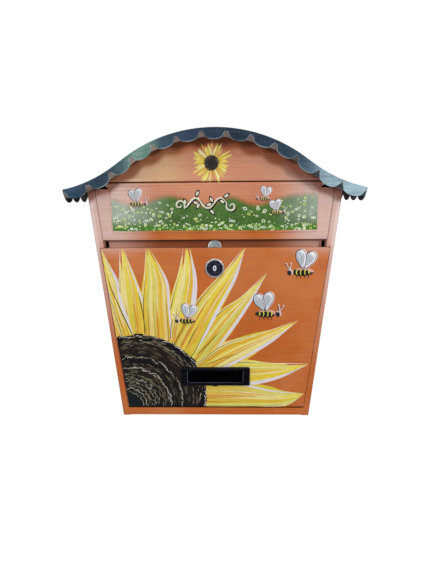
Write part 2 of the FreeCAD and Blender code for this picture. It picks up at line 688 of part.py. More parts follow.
def cam_screw():
    y0 = PANEL_FRONT + CAM_SETBACK + CAM_THICKNESS + WASHER_THICKNESS
    head = rod_y(SCREW_HEAD_RADIUS, y0, y0 + 2.4, 0, LOCK_Z)
    edges = [e for e in head.Edges if abs(e.BoundBox.YMin - (y0 + 2.4)) < 0.01 and e.Length > 1]
    head = head.makeFillet(0.9, edges)
    shank = rod_y(SCREW_RADIUS, y0 - 5.4, y0, 0, LOCK_Z)
    slot = block(-3, 3, y0 + 1.5, y0 + 4, LOCK_Z - 0.45, LOCK_Z + 0.45)
    return head.fuse(shank).cut(slot)


# ---- the name plate ----
def plate_middle():
    return DOOR_BOTTOM + PLATE_BOTTOM + PLATE_HEIGHT / 2


def peg_places():
    return (-PEG_SPACING / 2, PEG_SPACING / 2)


def plate_block(width, height, y0, y1):
    z = plate_middle()
    return block(-width / 2, width / 2, y0, y1, z - height / 2, z + height / 2)


def name_plate_frame():
    y0 = PANEL_FRONT - PLATE_THICKNESS
    body = plate_block(PLATE_WIDTH, PLATE_HEIGHT, y0, PANEL_FRONT)
    upright = [e for e in body.Edges if abs(e.BoundBox.YLength - PLATE_THICKNESS) < 0.01]
    body = body.makeFillet(1.6, upright)
    rim = [e for e in body.Edges if e.BoundBox.YMax < y0 + 0.01]
    body = body.makeChamfer(0.8, rim)
    opening = plate_block(PLATE_WINDOW_WIDTH, PLATE_WINDOW_HEIGHT, y0 - 1, PANEL_FRONT + 1)
    rebate = plate_block(PLATE_WINDOW_WIDTH + 6, PLATE_WINDOW_HEIGHT + 3, y0 + 1.4, PANEL_FRONT + 1)
    thumb = Part.makeCylinder(9, 1.4, V(0, PANEL_FRONT - 1.6, plate_middle() - PLATE_HEIGHT / 2 + 7.2),
                              V(0, 1, 0))
    thumb = thumb.common(block(-20, 20, y0, PANEL_FRONT, 0, plate_middle() - PLATE_HEIGHT / 2 + 1))
    pegs = [rod_y(PEG_RADIUS, PANEL_FRONT - 1, PANEL_FRONT + 4.5, x, plate_middle())
            for x in peg_places()]
    keep = [rod_y(PEG_RADIUS + 0.6, y0 + 1.4, PANEL_FRONT, x, plate_middle()) for x in peg_places()]
    return body.cut([opening, rebate]).multiFuse([thumb] + keep + pegs)


def name_plate_window():
    y0 = PANEL_FRONT - PLATE_THICKNESS + 1.4
    return plate_block(PLATE_WINDOW_WIDTH + 2, PLATE_WINDOW_HEIGHT + 2.6, y0, y0 + 1.0)


def name_plate_backing():
    y0 = PANEL_FRONT - PLATE_THICKNESS + 2.4
    return plate_block(PLATE_WINDOW_WIDTH + 1, PLATE_WINDOW_HEIGHT + 2.6, y0, PANEL_FRONT)


def name_plate_clips():
    y0 = PANEL_FRONT + SHEET
    clips = []
    for x in peg_places():
        clip = rod_y(2 * PEG_RADIUS, y0, y0 + 0.6, x, plate_middle())
        clips.append(clip.cut(rod_y(PEG_RADIUS + FIT, y0 - 1, y0 + 2, x, plate_middle())))
    return Part.makeCompound(clips)


def save(name, shape):
    placed = shape.translated(V(0, 0, -WALL_HOLES_HEIGHT))
    placed.exportStep("parts/" + name + ".step")
    box = placed.BoundBox
    print(f"{name:22s} solids {len(placed.Solids)} volume {placed.Volume:9.1f} valid {placed.isValid()}"
          f"  x {box.XMin:7.1f} {box.XMax:7.1f}  y {box.YMin:7.1f} {box.YMax:7.1f}"
          f"  z {box.ZMin:7.1f} {box.ZMax:7.1f}")


def main():
    os.makedirs("parts", exist_ok=True)
    right_side, right_pin = side_panel(), door_pin()
    save("back_panel", back_panel())
    save("side_panel_right", right_side)
    save("side_panel_left", mirrored(right_side))
    save("bottom_panel", bottom_panel())
    save("lintel", lintel())
    save("gable_panel", gable_panel())
    save("roof", roof())
    save("roof_edge_strip", roof_edge_strip())
    save("roof_brackets_front", roof_brackets(FRONT + SHEET, 1))
    save("roof_brackets_back", roof_brackets(-SHEET, -1))
    save("roof_rivets", roof_rivets())
    save("letter_flap", letter_flap())
    save("flap_rod", flap_rod())
    save("flap_rod_lugs", flap_rod_lugs())
    save("flap_rod_caps", flap_rod_caps())
    save("door_panel", door_panel())
    save("door_pin_right", right_pin)
    save("door_pin_left", mirrored(right_pin))
    save("lock_housing", lock_housing())
    save("lock_nut", lock_nut())
    save("lock_plug", lock_plug())
    save("lock_cam", lock_cam())
    save("cam_washer", cam_washer())
    save("cam_screw", cam_screw())
    save("name_plate_frame", name_plate_frame())
    save("name_plate_window", name_plate_window())
    save("name_plate_backing", name_plate_backing())
    save("name_plate_clips", name_plate_clips())
    print(f"roof radii: crown {CROWN_R:.1f}, flare {FLARE_R:.1f}; half run {HALF_RUN:.1f}")


main()
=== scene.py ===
# %% [markdown]
# # A hand-painted letter box of folded sheet steel
# The box hangs on a wall: a tapered body under an arched roof with scalloped edges, a letter flap
# that swings out at its top edge, and a door that drops open on two pins. Somebody brushed copper
# enamel over all of it and painted a sunflower, bees and a strip of meadow on the front.
# The design of every sheet comes from the CAD model. Here it gets its edges, its roof and its
# paint.

# %% Load the frame
import contextlib
import math
import random

import bmesh
import bpy
from mathutils import Matrix, Vector, noise


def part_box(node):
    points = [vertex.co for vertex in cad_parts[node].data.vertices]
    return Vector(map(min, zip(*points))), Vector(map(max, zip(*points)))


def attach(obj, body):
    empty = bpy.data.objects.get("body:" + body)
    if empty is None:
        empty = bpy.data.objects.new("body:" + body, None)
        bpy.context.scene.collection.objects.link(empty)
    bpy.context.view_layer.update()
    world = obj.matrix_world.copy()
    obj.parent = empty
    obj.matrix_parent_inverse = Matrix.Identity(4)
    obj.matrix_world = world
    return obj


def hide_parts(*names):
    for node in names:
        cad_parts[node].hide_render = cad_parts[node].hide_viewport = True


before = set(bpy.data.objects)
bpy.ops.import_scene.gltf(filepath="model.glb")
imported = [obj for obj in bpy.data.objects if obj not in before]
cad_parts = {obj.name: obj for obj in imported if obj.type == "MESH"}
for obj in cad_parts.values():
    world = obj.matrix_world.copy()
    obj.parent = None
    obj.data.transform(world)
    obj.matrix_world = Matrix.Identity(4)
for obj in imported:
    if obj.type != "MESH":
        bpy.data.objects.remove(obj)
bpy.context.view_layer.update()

MM = 0.001
DOOR_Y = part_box("door_panel")[0][1]
FLAP_FIELD_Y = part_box("letter_flap")[0][1]
GABLE_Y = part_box("gable_panel")[0][1]
print("nodes:", len(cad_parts), "front of the door at y =", round(DOOR_Y, 4))

# %% [markdown]
# ## Helpers
# Two kinds of step come back all through the script: putting an object into the scene, and adding
# a node with its inputs linked or set. Written out each time they would hide what a piece or a
# finish is about, so each is a function with one job.

# %% Object helpers


def placed(name, data):
    """A new object in the scene."""
    obj = bpy.data.objects.new(name, data)
    bpy.context.collection.objects.link(obj)
    return obj


def mesh_piece(name, verts, faces):
    mesh = bpy.data.meshes.new(name)
    mesh.from_pydata(verts, [], faces)
    return placed(name, mesh)

# %% Node helpers


def new_material(name):
    material = bpy.data.materials.new(name)
    material.use_nodes = True
    return material, material.node_tree, material.node_tree.nodes["Principled BSDF"]


def feed(tree, socket, value):
    """Link a socket to an output, or set it to a plain value."""
    if isinstance(value, bpy.types.NodeSocket):
        tree.links.new(value, socket)
    else:
        socket.default_value = value


def put(tree, kind, sources=(), **settings):
    """Add a node, set its properties, and feed its inputs with links or plain values."""
    node = tree.nodes.new(kind)
    for key, value in settings.items():
        setattr(node, key, value)
    for socket, value in dict(sources).items():
        feed(tree, node.inputs[socket], value)
    return node


def worked(tree, operation, *values):
    """One step of arithmetic."""
    return put(tree, "ShaderNodeMath", dict(enumerate(values)), operation=operation).outputs[0]


def product(tree, *factors):
    """Several masks or numbers multiplied together."""
    made = factors[0]
    for factor in factors[1:]:
        made = worked(tree, "MULTIPLY", made, factor)
    return made


def colour_mix(tree, share, a, b):
    a, b = (c if isinstance(c, bpy.types.NodeSocket) else (*c, 1) for c in (a, b))
    return put(tree, "ShaderNodeMix", {0: share, 6: a, 7: b}, data_type="RGBA").outputs[2]

# %% [markdown]
# ## Camera, light and floor
# The box is seen from the front, from half a metre away and a little above its middle, as one
# looks at it when taking out the post. Light is broad and soft, with no hard shadow, and the pale
# sheen near the top and at the ends of the enamel is painted into its colour. The floor and the
# world look white to the camera only: the lamps stay at a level at which a colour renders about as
# it was mixed.

# %% Camera
CAMERA_PLACE = (0.0061, -0.5970, 0.1365)
CAMERA_TILT = math.radians(11.73)      # looking down
CAMERA_TURN = math.radians(1.17)       # the box is seen from a little to its right
CAMERA_ROLL = math.radians(-0.47)
LENS = 25.92


def make_camera():
    data = bpy.data.cameras.new("camera")
    data.lens = LENS
    data.sensor_width = 36.0
    data.clip_start = 0.01
    cam = placed("camera", data)
    cam.location = CAMERA_PLACE
    turn = Matrix.Rotation(CAMERA_TURN, 4, "Z") @ Matrix.Rotation(math.pi / 2 - CAMERA_TILT, 4, "X")
    cam.rotation_euler = (turn @ Matrix.Rotation(CAMERA_ROLL, 4, "Z")).to_euler()
    bpy.context.scene.camera = cam


make_camera()
print("camera:", LENS, "mm lens,", -CAMERA_PLACE[1], "m in front of the wall")

# %% Light and surroundings
LAMPS = [
    # name, place, what it points at, width in metres, watts
    ("sky_front", (0.0, -1.05, 1.50), (0, 0, 0.02), 1.3, 8.8),
    ("window_left", (-0.62, -1.35, 0.46), (-0.04, 0, 0.05), 0.30, 5.0),
    ("window_right", (0.86, -1.25, 0.52), (0.04, 0, 0.05), 0.30, 7.5),
]
ROOM_LIGHT = (0.33, 0.34, 0.36)
WHITE = (1, 1, 1)


def make_lamp(name, place, target, size, watts):
    data = bpy.data.lights.new(name, "AREA")
    data.shape = "DISK"
    data.size = size
    data.energy = watts
    lamp = placed(name, data)
    lamp.location = place
    lamp.rotation_euler = (Vector(target) - Vector(place)).to_track_quat("-Z", "Y").to_euler()


def make_world():
    """White where the camera looks, straight or through glass; a dim room everywhere else."""
    world = bpy.data.worlds.new("soft_room")
    bpy.context.scene.world = world
    world.use_nodes = True
    tree = world.node_tree
    rays = put(tree, "ShaderNodeLightPath").outputs
    seen = worked(tree, "MAXIMUM", rays["Is Camera Ray"], rays["Is Transmission Ray"])
    feed(tree, tree.nodes["Background"].inputs["Color"], colour_mix(tree, seen, ROOM_LIGHT, WHITE))


for lamp_row in LAMPS:
    make_lamp(*lamp_row)
make_world()
print("lamps:", ", ".join(row[0] for row in LAMPS))

# %% Floor
FLOOR_DROP = 1.0               # the box hangs a metre above the floor
FLOOR_HALF = 6.0
FLOOR_GLOW = 1.03              # just enough to render as plain white
FLOOR_GLOW_SHARE = 0.96        # the rest is left to the shadow


def make_floor():
    corners = [(x * FLOOR_HALF, y * FLOOR_HALF, -FLOOR_DROP)
               for x, y in ((-1, -1), (1, -1), (1, 1), (-1, 1))]
    floor = mesh_piece("floor", corners, [(0, 1, 2, 3)])
    paint, tree, shader = new_material("pale_floor")
    shader.inputs["Base Color"].default_value = (0.8, 0.8, 0.8, 1)
    shader.inputs["Roughness"].default_value = 0.9
    glow = put(tree, "ShaderNodeEmission", {"Strength": FLOOR_GLOW})
    rays = put(tree, "ShaderNodeLightPath").outputs
    share = product(tree, rays["Is Camera Ray"], FLOOR_GLOW_SHARE)
    mix = put(tree, "ShaderNodeMixShader", {0: share, 1: shader.outputs[0], 2: glow.outputs[0]})
    tree.links.new(mix.outputs[0], tree.nodes["Material Output"].inputs["Surface"])
    floor.data.materials.append(paint)


make_floor()
bpy.context.scene.view_settings.view_transform = "Standard"
print("floor", FLOOR_DROP, "m under the box")

# %% [markdown]
# ## The roof's curve
# One line shapes both the roof and what is under it: an arc over the middle, a short straight
# flank, and a wider arc that lifts the eaves. Several later steps ask for a point on it.

# %% The roof's curve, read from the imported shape
roof_low, roof_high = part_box("roof")
SHEET = 0.8 * MM
ROOF_RISE = 67.0 * MM
ROOF_STRAIGHT = 16.3 * MM
ROOF_HALF = roof_high[0]
ROOF_TOP = roof_high[2]
CHORD = math.atan2(ROOF_RISE, ROOF_HALF)
ROOF_SLOPE = CHORD + math.radians(13.95)   # the straight flank, steeper than the chord
EAVE_SLOPE = CHORD - math.radians(9.55)    # where the eaves lift
ROOF_FRONT = roof_low[1]


def arc_radii():
    across = ROOF_HALF - ROOF_STRAIGHT * math.cos(ROOF_SLOPE)
    drop = ROOF_RISE - ROOF_STRAIGHT * math.sin(ROOF_SLOPE)
    a = (math.sin(ROOF_SLOPE), math.sin(ROOF_SLOPE) - math.sin(EAVE_SLOPE))
    b = (1 - math.cos(ROOF_SLOPE), math.cos(EAVE_SLOPE) - math.cos(ROOF_SLOPE))
    det = a[0] * b[1] - a[1] * b[0]
    return (across * b[1] - a[1] * drop) / det, (a[0] * drop - across * b[0]) / det


CROWN_R, FLARE_R = arc_radii()
CROWN_RUN = CROWN_R * ROOF_SLOPE
FLARE_START = CROWN_RUN + ROOF_STRAIGHT
HALF_RUN = FLARE_START + FLARE_R * (ROOF_SLOPE - EAVE_SLOPE)
print("crown radius", round(CROWN_R / MM), "mm, eave radius", round(FLARE_R / MM), "mm")


def roof_at(run, depth=0.0):
    """Point (x, z) on the roof's curve, run along it from the crown, depth below its top side."""
    side, along = (-1 if run < 0 else 1), abs(run)
    slope = min(along, CROWN_RUN) / CROWN_R
    x = CROWN_R * math.sin(slope)
    z = ROOF_TOP - CROWN_R * (1 - math.cos(slope))
    if along > CROWN_RUN:
        step = min(along, FLARE_START) - CROWN_RUN
        x += step * math.cos(ROOF_SLOPE)
        z -= step * math.sin(ROOF_SLOPE)
    if along > FLARE_START:
        slope = ROOF_SLOPE - (along - FLARE_START) / FLARE_R
        x += FLARE_R * (math.sin(ROOF_SLOPE) - math.sin(slope))
        z -= FLARE_R * (math.cos(slope) - math.cos(ROOF_SLOPE))
    return side * (x - depth * math.sin(slope)), z - depth * math.cos(slope)

# %% [markdown]
# ## Paint, in general
# All the finishes share a few effects: the fine lines that a brush leaves, blotches where the
# enamel is thicker, and the pale rim where a fold has been handled, which on the plastics is a
# painted highlight. Each effect is one node group that turns a place and one setting into masks,
# so a change of character is made once.

# %% The shared effects
FLOAT, VECTOR = "NodeSocketFloat", "NodeSocketVector"


def ramp(tree, source, low, high):
    """A mask that rises from 0 to 1 between two values."""
    return put(tree, "ShaderNodeMapRange", {"Value": source, "From Min": low, "From Max": high},
               interpolation_type="SMOOTHSTEP").outputs["Result"]


def clouds(tree, vector, scale, detail, roughness=0.5):
    sources = {"Vector": vector, "Scale": scale, "Detail": detail, "Roughness": roughness}
    return put(tree, "ShaderNodeTexNoise", sources).outputs["Fac"]


def stretched_noise(tree, vector, scale, detail, roughness=0.6):
    """Noise over a vector that is first stretched by scale (three numbers)."""
    wide = put(tree, "ShaderNodeVectorMath", {0: vector, 1: scale}, operation="MULTIPLY")
    return clouds(tree, wide.outputs[0], 1.0, detail, roughness)


def stored(tree, name, output="Fac"):
    """What store() wrote on the mesh."""
    node = put(tree, "ShaderNodeAttribute", attribute_name=name, attribute_type="GEOMETRY")
    return node.outputs[output]


def brush_lines(tree, place, stretch):
    fine = stretched_noise(tree, place, stretch, 4.0, 0.65)
    return ramp(tree, fine, 0.32, 0.68), fine


def blotches(tree, place, size):
    big, small = clouds(tree, place, size, 3.0, 0.55), clouds(tree, place, 900.0, 1.0)
    return ramp(tree, big, 0.35, 0.68), ramp(tree, small, 0.66, 0.78)


def rim_wear_and_sheen(tree, place, amount):
    gate = ramp(tree, clouds(tree, place, 60.0, 3.0), 0.3, 0.6)
    return (product(tree, stored(tree, "edge"), gate, amount),)


def shared_effect(recipe, setting, kind, default, labels):
    """A node group built by recipe(tree, place, setting), which gives the labelled masks."""
    tree = bpy.data.node_groups.new(recipe.__name__, "ShaderNodeTree")
    for label, sort, value in (("Vector", VECTOR, (0, 0, 0)), (setting, kind, default)):
        socket = tree.interface.new_socket(name=label, in_out="INPUT", socket_type=sort)
        socket.default_value = value
    for label in labels:
        tree.interface.new_socket(name=label, in_out="OUTPUT", socket_type=FLOAT)
    ins, outs = tree.nodes.new("NodeGroupInput"), tree.nodes.new("NodeGroupOutput")
    masks = recipe(tree, ins.outputs["Vector"], ins.outputs[setting])
    for label, mask in zip(labels, masks):
        tree.links.new(mask, outs.inputs[label])
    return tree


BRUSH_LINES = shared_effect(brush_lines, "Stretch", VECTOR, (20, 60, 900), ("Lines", "Height"))
BLOTCHES = shared_effect(blotches, "Size", FLOAT, 18.0, ("Blotch", "Speck"))
RIM_WEAR_AND_SHEEN = shared_effect(rim_wear_and_sheen, "Amount", FLOAT, 0.6, ("Wear and sheen",))
print("shared effects:", BRUSH_LINES.name, BLOTCHES.name, RIM_WEAR_AND_SHEEN.name)

# %% [markdown]
# ## The finishes
# Copper enamel covers the body, flap and door. The roof is a dark petrol blue that has gone
# pale and chalky towards the right-hand eave. The rest is small hardware: zinc, chrome, black
# moulded plastic and a clear window. Each material owns its Principled shader, and the groups
# only feed it colours and masks. Colours are written as a painter reads them off a card (red,
# green, blue from 0 to 255) and turned into the linear values that a shader wants.

# %% Material helpers
SPECULAR = "Specular IOR Level"


def object_place(tree):
    return put(tree, "ShaderNodeTexCoord").outputs["Object"]


def use(tree, group, **sources):
    return put(tree, "ShaderNodeGroup", sources, node_tree=group).outputs


def toned(tree, colour, value, saturation):
    sources = {"Color": colour, "Value": value, "Saturation": saturation}
    return put(tree, "ShaderNodeHueSaturation", sources).outputs[0]


def spread_between(tree, mask, low, high):
    """A mask stretched to run from low to high."""
    sources = {"Value": mask, "To Min": low, "To Max": high}
    return put(tree, "ShaderNodeMapRange", sources).outputs[0]


def rims_worn_and_lit(tree, place, amount, colour, pale):
    """The colour, paler along each fold and cut."""
    wear = use(tree, RIM_WEAR_AND_SHEEN, Vector=place, Amount=amount)["Wear and sheen"]
    return colour_mix(tree, wear, colour, pale)


def dress(tree, shader, colour, mask, rough, **plain):
    """Feed the shader a colour, a roughness that follows a mask, and plain values."""
    feed(tree, shader.inputs["Base Color"], colour)
    feed(tree, shader.inputs["Roughness"], spread_between(tree, mask, *rough))
    for label, value in plain.items():
        shader.inputs[label].default_value = value


def bump(tree, shader, height, strength, distance=0.0002):
    sources = {"Height": height, "Strength": strength, "Distance": distance}
    feed(tree, shader.inputs["Normal"], put(tree, "ShaderNodeBump", sources).outputs[0])

# %% Colours off a card


def linear(value):
    value = value / 255
    return value / 12.92 if value <= 0.04045 else ((value + 0.055) / 1.055) ** 2.4


def rgb(red, green, blue):
    return (linear(red), linear(green), linear(blue))


def mixed(a, b, share):
    return tuple(x + (y - x) * share for x, y in zip(a, b))


print("mid grey as a shader wants it:", round(linear(128), 3))

# %% [markdown]
# ## Copper enamel
# The copper-coloured enamel was brushed on by hand, mostly sideways. Its colour also carries
# painted light: a pale sheen at both ends of the flap, down the strips beside the door and towards
# the gable, a painted shadow in scallops close under the roof's tabs, and painted shade on the
# lintel under the flap. A picture of this could be wrapped round the box, but it would blur close
# up. Masks worked out from the place on the piece stay sharp, and they meet where two sheets meet.

# %% Copper enamel
ENAMEL = rgb(199, 105, 38)
ENAMEL_DEEP = rgb(182, 88, 28)
ENAMEL_PALE = rgb(212, 140, 88)
# pale painted sheen: the lamps' glare painted into the enamel's colour
ENAMEL_SHEEN = rgb(226, 200, 192)
# painted shadow: the colour of the scalloped shadow that the roof's tabs cast on the enamel
ENAMEL_ROOF_SHADOW = rgb(178, 80, 40)
# painted shade for the lintel, recessed under the flap
ENAMEL_SHADED = rgb(98, 40, 20)
door_low, door_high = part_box("door_panel")
DOOR_TAPER = 0.1158            # how much the door's half widens for each metre of height
DOOR_WAIST = door_high[0] - DOOR_TAPER * door_high[2]
SCALLOP_PITCH = 0.0285
CURVE_STEPS = 8


def roof_height(tree, x):
    """Height of the roof's top side over a place x, as a curve node that follows the roof."""
    share = product(tree, worked(tree, "ABSOLUTE", x), 1 / ROOF_HALF)
    node = put(tree, "ShaderNodeFloatCurve", {"Value": share})
    curve = node.mapping.curves[0]
    for i in range(CURVE_STEPS + 1):
        px, pz = roof_at(HALF_RUN * i / CURVE_STEPS)
        spot = (px / ROOF_HALF, pz / ROOF_TOP)
        if i in (0, CURVE_STEPS):
            curve.points[0 if i == 0 else -1].location = spot
        else:
            curve.points.new(*spot)
    node.mapping.update()
    return product(tree, node.outputs[0], ROOF_TOP)


def painted_roof_shadow(tree, x, z):
    """Painted shadow: the scalloped band close under the roof where the tabs' shadow falls."""
    below = worked(tree, "SUBTRACT", roof_height(tree, x), z)
    wave = worked(tree, "SINE", product(tree, x, math.pi / SCALLOP_PITCH))
    bite = product(tree, worked(tree, "ABSOLUTE", wave), -0.005)
    return ramp(tree, worked(tree, "ADD", below, bite), 0.024, 0.014)


def make_enamel(name, shaded=0.0):
    """Brushed enamel with painted light: scalloped shadow under the roof, pale sheen at the ends
    and top, and painted shade when shaded is given.
    """
    material, tree, shader = new_material(name)
    place = object_place(tree)
    lines = use(tree, BRUSH_LINES, Vector=place, Stretch=(14, 50, 1100))
    spots = use(tree, BLOTCHES, Vector=place, Size=14.0)
    x, y, z = put(tree, "ShaderNodeSeparateXYZ", {0: place}).outputs
    front = ramp(tree, y, -0.060, -0.085)
    away = worked(tree, "ABSOLUTE", x)
    grain = spread_between(tree, lines["Lines"], 0.6, 1.0)
    lean = worked(tree, "ADD", away, product(tree, z, -DOOR_TAPER))
    beside_door = ramp(tree, lean, DOOR_WAIST - 0.0005, DOOR_WAIST + 0.0005)
    arch = ramp(tree, z, 0.150, 0.158)
    flap_ends = product(tree, ramp(tree, z, 0.060, 0.092), ramp(tree, away, 0.066, 0.124))
    # Painted sheen: pale patches for the glare at both ends of the flap and down the strips beside
    # the door, and a paler top towards the gable, paler still on its left.
    haze = [
        # where it lies, its strength, its colour
        (product(tree, beside_door, ramp(tree, z, -0.09, 0.09)), 0.80, ENAMEL_SHEEN),
        (flap_ends, 0.92, ENAMEL_SHEEN),
        (ramp(tree, z, 0.112, 0.146), 0.22, ENAMEL_SHEEN),
        (arch, 0.30, rgb(214, 164, 134)),
        (product(tree, arch, ramp(tree, x, -0.022, -0.060)), 0.80, rgb(216, 178, 128)),
    ]
    colour = colour_mix(tree, lines["Lines"], ENAMEL_DEEP, ENAMEL)
    colour = colour_mix(tree, product(tree, spots["Blotch"], 0.35), colour, ENAMEL_PALE)
    for mask, strength, tone in haze:
        colour = colour_mix(tree, product(tree, front, mask, grain, strength), colour, tone)
    # Painted shadow of the roof's tabs, in scallops close under the roof
    roof_shadow_share = product(tree, front, painted_roof_shadow(tree, x, z), 0.62)
    colour = colour_mix(tree, roof_shadow_share, colour, ENAMEL_ROOF_SHADOW)
    colour = rims_worn_and_lit(tree, place, 0.55, colour, rgb(238, 196, 160))
    colour = colour_mix(tree, product(tree, spots["Speck"], 0.25), colour, rgb(120, 58, 34))
    # Painted shade: the lintel lies recessed under the flap, so its colour is darkened, most in the
    # middle and less towards both ends.
    if shaded:
        inward = ramp(tree, away, 0.130, 0.050)
        colour = colour_mix(tree, product(tree, grain, shaded, inward), colour, ENAMEL_SHADED)
    dress(tree, shader, colour, lines["Lines"], (0.46, 0.30),
          **{SPECULAR: 0.32, "Coat Roughness": 0.25, "Coat Weight": 0.10})
    bump(tree, shader, lines["Height"], 0.25)
    return material


enamel = make_enamel("copper_enamel")
shaded_enamel = make_enamel("copper_enamel_shaded", 0.74)
print("copper enamel:", len(enamel.node_tree.nodes), "nodes")

# %% [markdown]
# ## Roof patina
# The roof's petrol blue changes along the arch: nearly black over the crown, green and worn on the
# left flank, pale and chalky at the right-hand eave. The tone is stored on each point of the
# sheet and of its tabs, so that they agree where they meet. The shader adds brush lines, blotches
# and worn rims, and darkens the roof's underside and the tabs' backs nearly to black as painted
# shade.

# %% Roof patina
ROOF_TONES = [
    # place across the roof in millimetres, colour there
    (-176, rgb(42, 76, 98)), (-150, rgb(34, 64, 86)), (-125, rgb(38, 64, 82)),
    (-105, rgb(66, 96, 102)), (-90, rgb(112, 146, 132)), (-72, rgb(92, 128, 116)),
    (-58, rgb(46, 74, 92)), (-30, rgb(36, 56, 78)), (20, rgb(30, 50, 68)), (78, rgb(32, 54, 72)),
    (98, rgb(50, 76, 94)), (112, rgb(84, 108, 124)), (132, rgb(146, 174, 184)),
    (176, rgb(156, 184, 198)),
]


def clamp(value):
    return min(1.0, max(0.0, value))


def roof_tone(point):
    """The roof's colour at a point."""
    x = point.x / MM
    for (x0, c0), (x1, c1) in zip(ROOF_TONES, ROOF_TONES[1:]):
        if x <= x1:
            return mixed(c0, c1, clamp((x - x0) / (x1 - x0)))
    return ROOF_TONES[-1][1]


def tinted(obj, tone):
    """Store a colour at each point of a piece; tone(point) gives it."""
    store(obj.data, "tint", "FLOAT_COLOR", "POINT", [(*tone(p.co), 1.0) for p in obj.data.vertices])


def make_tinted_enamel(name, rough):
    """Weathered enamel whose main colour comes with the piece; faces marked inner get painted
    shade.
    """
    material, tree, shader = new_material(name)
    place = object_place(tree)
    lines = use(tree, BRUSH_LINES, Vector=place, Stretch=(70, 200, 900))
    spots = use(tree, BLOTCHES, Vector=place, Size=30.0)
    tint = stored(tree, "tint", "Color")
    colour = colour_mix(tree, spots["Blotch"], toned(tree, tint, 0.55, 1.15), tint)
    pale = toned(tree, tint, 1.45, 0.80)
    colour = colour_mix(tree, product(tree, lines["Lines"], 0.6), colour, pale)
    colour = rims_worn_and_lit(tree, place, 0.65, colour, rgb(176, 186, 184))
    # Painted shade: faces marked inner, the roof's underside and the backs of the tabs, are
    # darkened nearly to black.
    colour = colour_mix(tree, product(tree, stored(tree, "inner"), 0.92), colour, rgb(20, 20, 24))
    dress(tree, shader, colour, spots["Blotch"], (rough + 0.16, rough), **{SPECULAR: 0.2})
    bump(tree, shader, lines["Height"], 0.3)
    return material


patina = make_tinted_enamel("petrol_patina", 0.38)
strip_paint = make_tinted_enamel("edge_strip_tint", 0.5)
print("roof patina:", len(ROOF_TONES), "tones along the arch")

# %% [markdown]
# ## Metal, plastic and the window
# The lock's ring is chromed and its core is black, the cam and the pins are dull zinc, and the
# name plate sits in black moulded plastic behind a clear window. Each could have a material of
# its own, but metals differ only in colour, gloss and the run of their fine marks, and plastics
# in even less. So one recipe makes the metals and one the plastics.

# %% Hardware finishes


def make_metal(name, pale, dark, stretch, rough, metallic=1.0):
    """Bare or plated metal with fine turning or rolling marks."""
    material, tree, shader = new_material(name)
    place = object_place(tree)
    lines = use(tree, BRUSH_LINES, Vector=place, Stretch=stretch)
    spots = use(tree, BLOTCHES, Vector=place, Size=220.0)
    colour = colour_mix(tree, lines["Lines"], dark, pale)
    haze = product(tree, spots["Blotch"], 0.35)
    colour = colour_mix(tree, haze, colour, mixed(pale, dark, 0.8))
    colour = rims_worn_and_lit(tree, place, 0.8, colour, mixed(pale, WHITE, 0.5))
    dress(tree, shader, colour, spots["Blotch"], (rough, rough + 0.14), Metallic=metallic)
    bump(tree, shader, lines["Height"], 0.12, 0.0001)
    return material


def make_plastic(name, base, pale, rough, gloss=0.28):
    """Moulded plastic: a fine grain, and a pale rim along its edges as a painted highlight."""
    material, tree, shader = new_material(name)
    place = object_place(tree)
    spots = use(tree, BLOTCHES, Vector=place, Size=300.0)
    colour = colour_mix(tree, product(tree, spots["Blotch"], 0.4), base, mixed(base, pale, 0.3))
    colour = rims_worn_and_lit(tree, place, 0.9, colour, pale)
    dress(tree, shader, colour, spots["Blotch"], (rough, rough + 0.1), **{SPECULAR: gloss})
    bump(tree, shader, stretched_noise(tree, place, (2500, 2500, 2500), 2.0), 0.15, 0.0001)
    return material


def make_window():
    material, tree, shader = new_material("clear_window")
    spots = use(tree, BLOTCHES, Vector=object_place(tree), Size=90.0)
    colour = colour_mix(tree, spots["Blotch"], (0.90, 0.92, 0.94), (0.97, 0.98, 0.99))
    dress(tree, shader, colour, spots["Blotch"], (0.04, 0.12),
          **{"Metallic": 0.0, "Transmission Weight": 1.0, "IOR": 1.12})
    return material


zinc = make_metal("dull_zinc", rgb(188, 200, 200), rgb(120, 140, 142), (300, 300, 900), 0.38)
chrome = make_metal("bright_chrome", rgb(232, 230, 226), rgb(196, 194, 196), (900, 200, 900), 0.26)
core_black = make_plastic("core_black", rgb(18, 16, 34), rgb(120, 118, 146), 0.18)
black_plastic = make_plastic("black_plastic", rgb(2, 2, 4), rgb(64, 64, 84), 0.30, 0.06)
clear_window = make_window()
print("hardware:", zinc.name, chrome.name, core_black.name, black_plastic.name, clear_window.name)

# %% [markdown]
# ## The painter's paint
# The pictures are painted in thick colours that hold the marks of the bristles. One material
# serves every stroke: its colour is stored along the stroke, and the bristle lines follow a
# second stored value, so that they bend with the stroke.

# %% Brushed artist's paint


def make_artist_paint(name, rough, streak_share, gloss=0.3):
    """Paint whose colour is stored along each stroke, with the lines that bristles leave in it."""
    material, tree, shader = new_material(name)
    tint = stored(tree, "tint", "Color")
    lines = use(tree, BRUSH_LINES, Vector=stored(tree, "brush", "Vector"), Stretch=(1.0, 0.06, 1.0))
    fleck = use(tree, BLOTCHES, Vector=object_place(tree), Size=160.0)
    dark = toned(tree, tint, 0.80, 1.08)
    streaked = colour_mix(tree, lines["Lines"], dark, toned(tree, tint, 1.10, 0.90))
    colour = colour_mix(tree, streak_share, tint, streaked)
    colour = colour_mix(tree, product(tree, fleck["Blotch"], 0.25), colour, dark)
    dress(tree, shader, colour, lines["Lines"], (rough + 0.1, rough), **{SPECULAR: gloss})
    bump(tree, shader, lines["Height"], 0.5)
    return material


petal_paint = make_artist_paint("petal_paint", 0.36, 0.75)
seed_paint = make_artist_paint("seed_paint", 0.42, 0.6, 0.12)
print("materials:", len(bpy.data.materials))

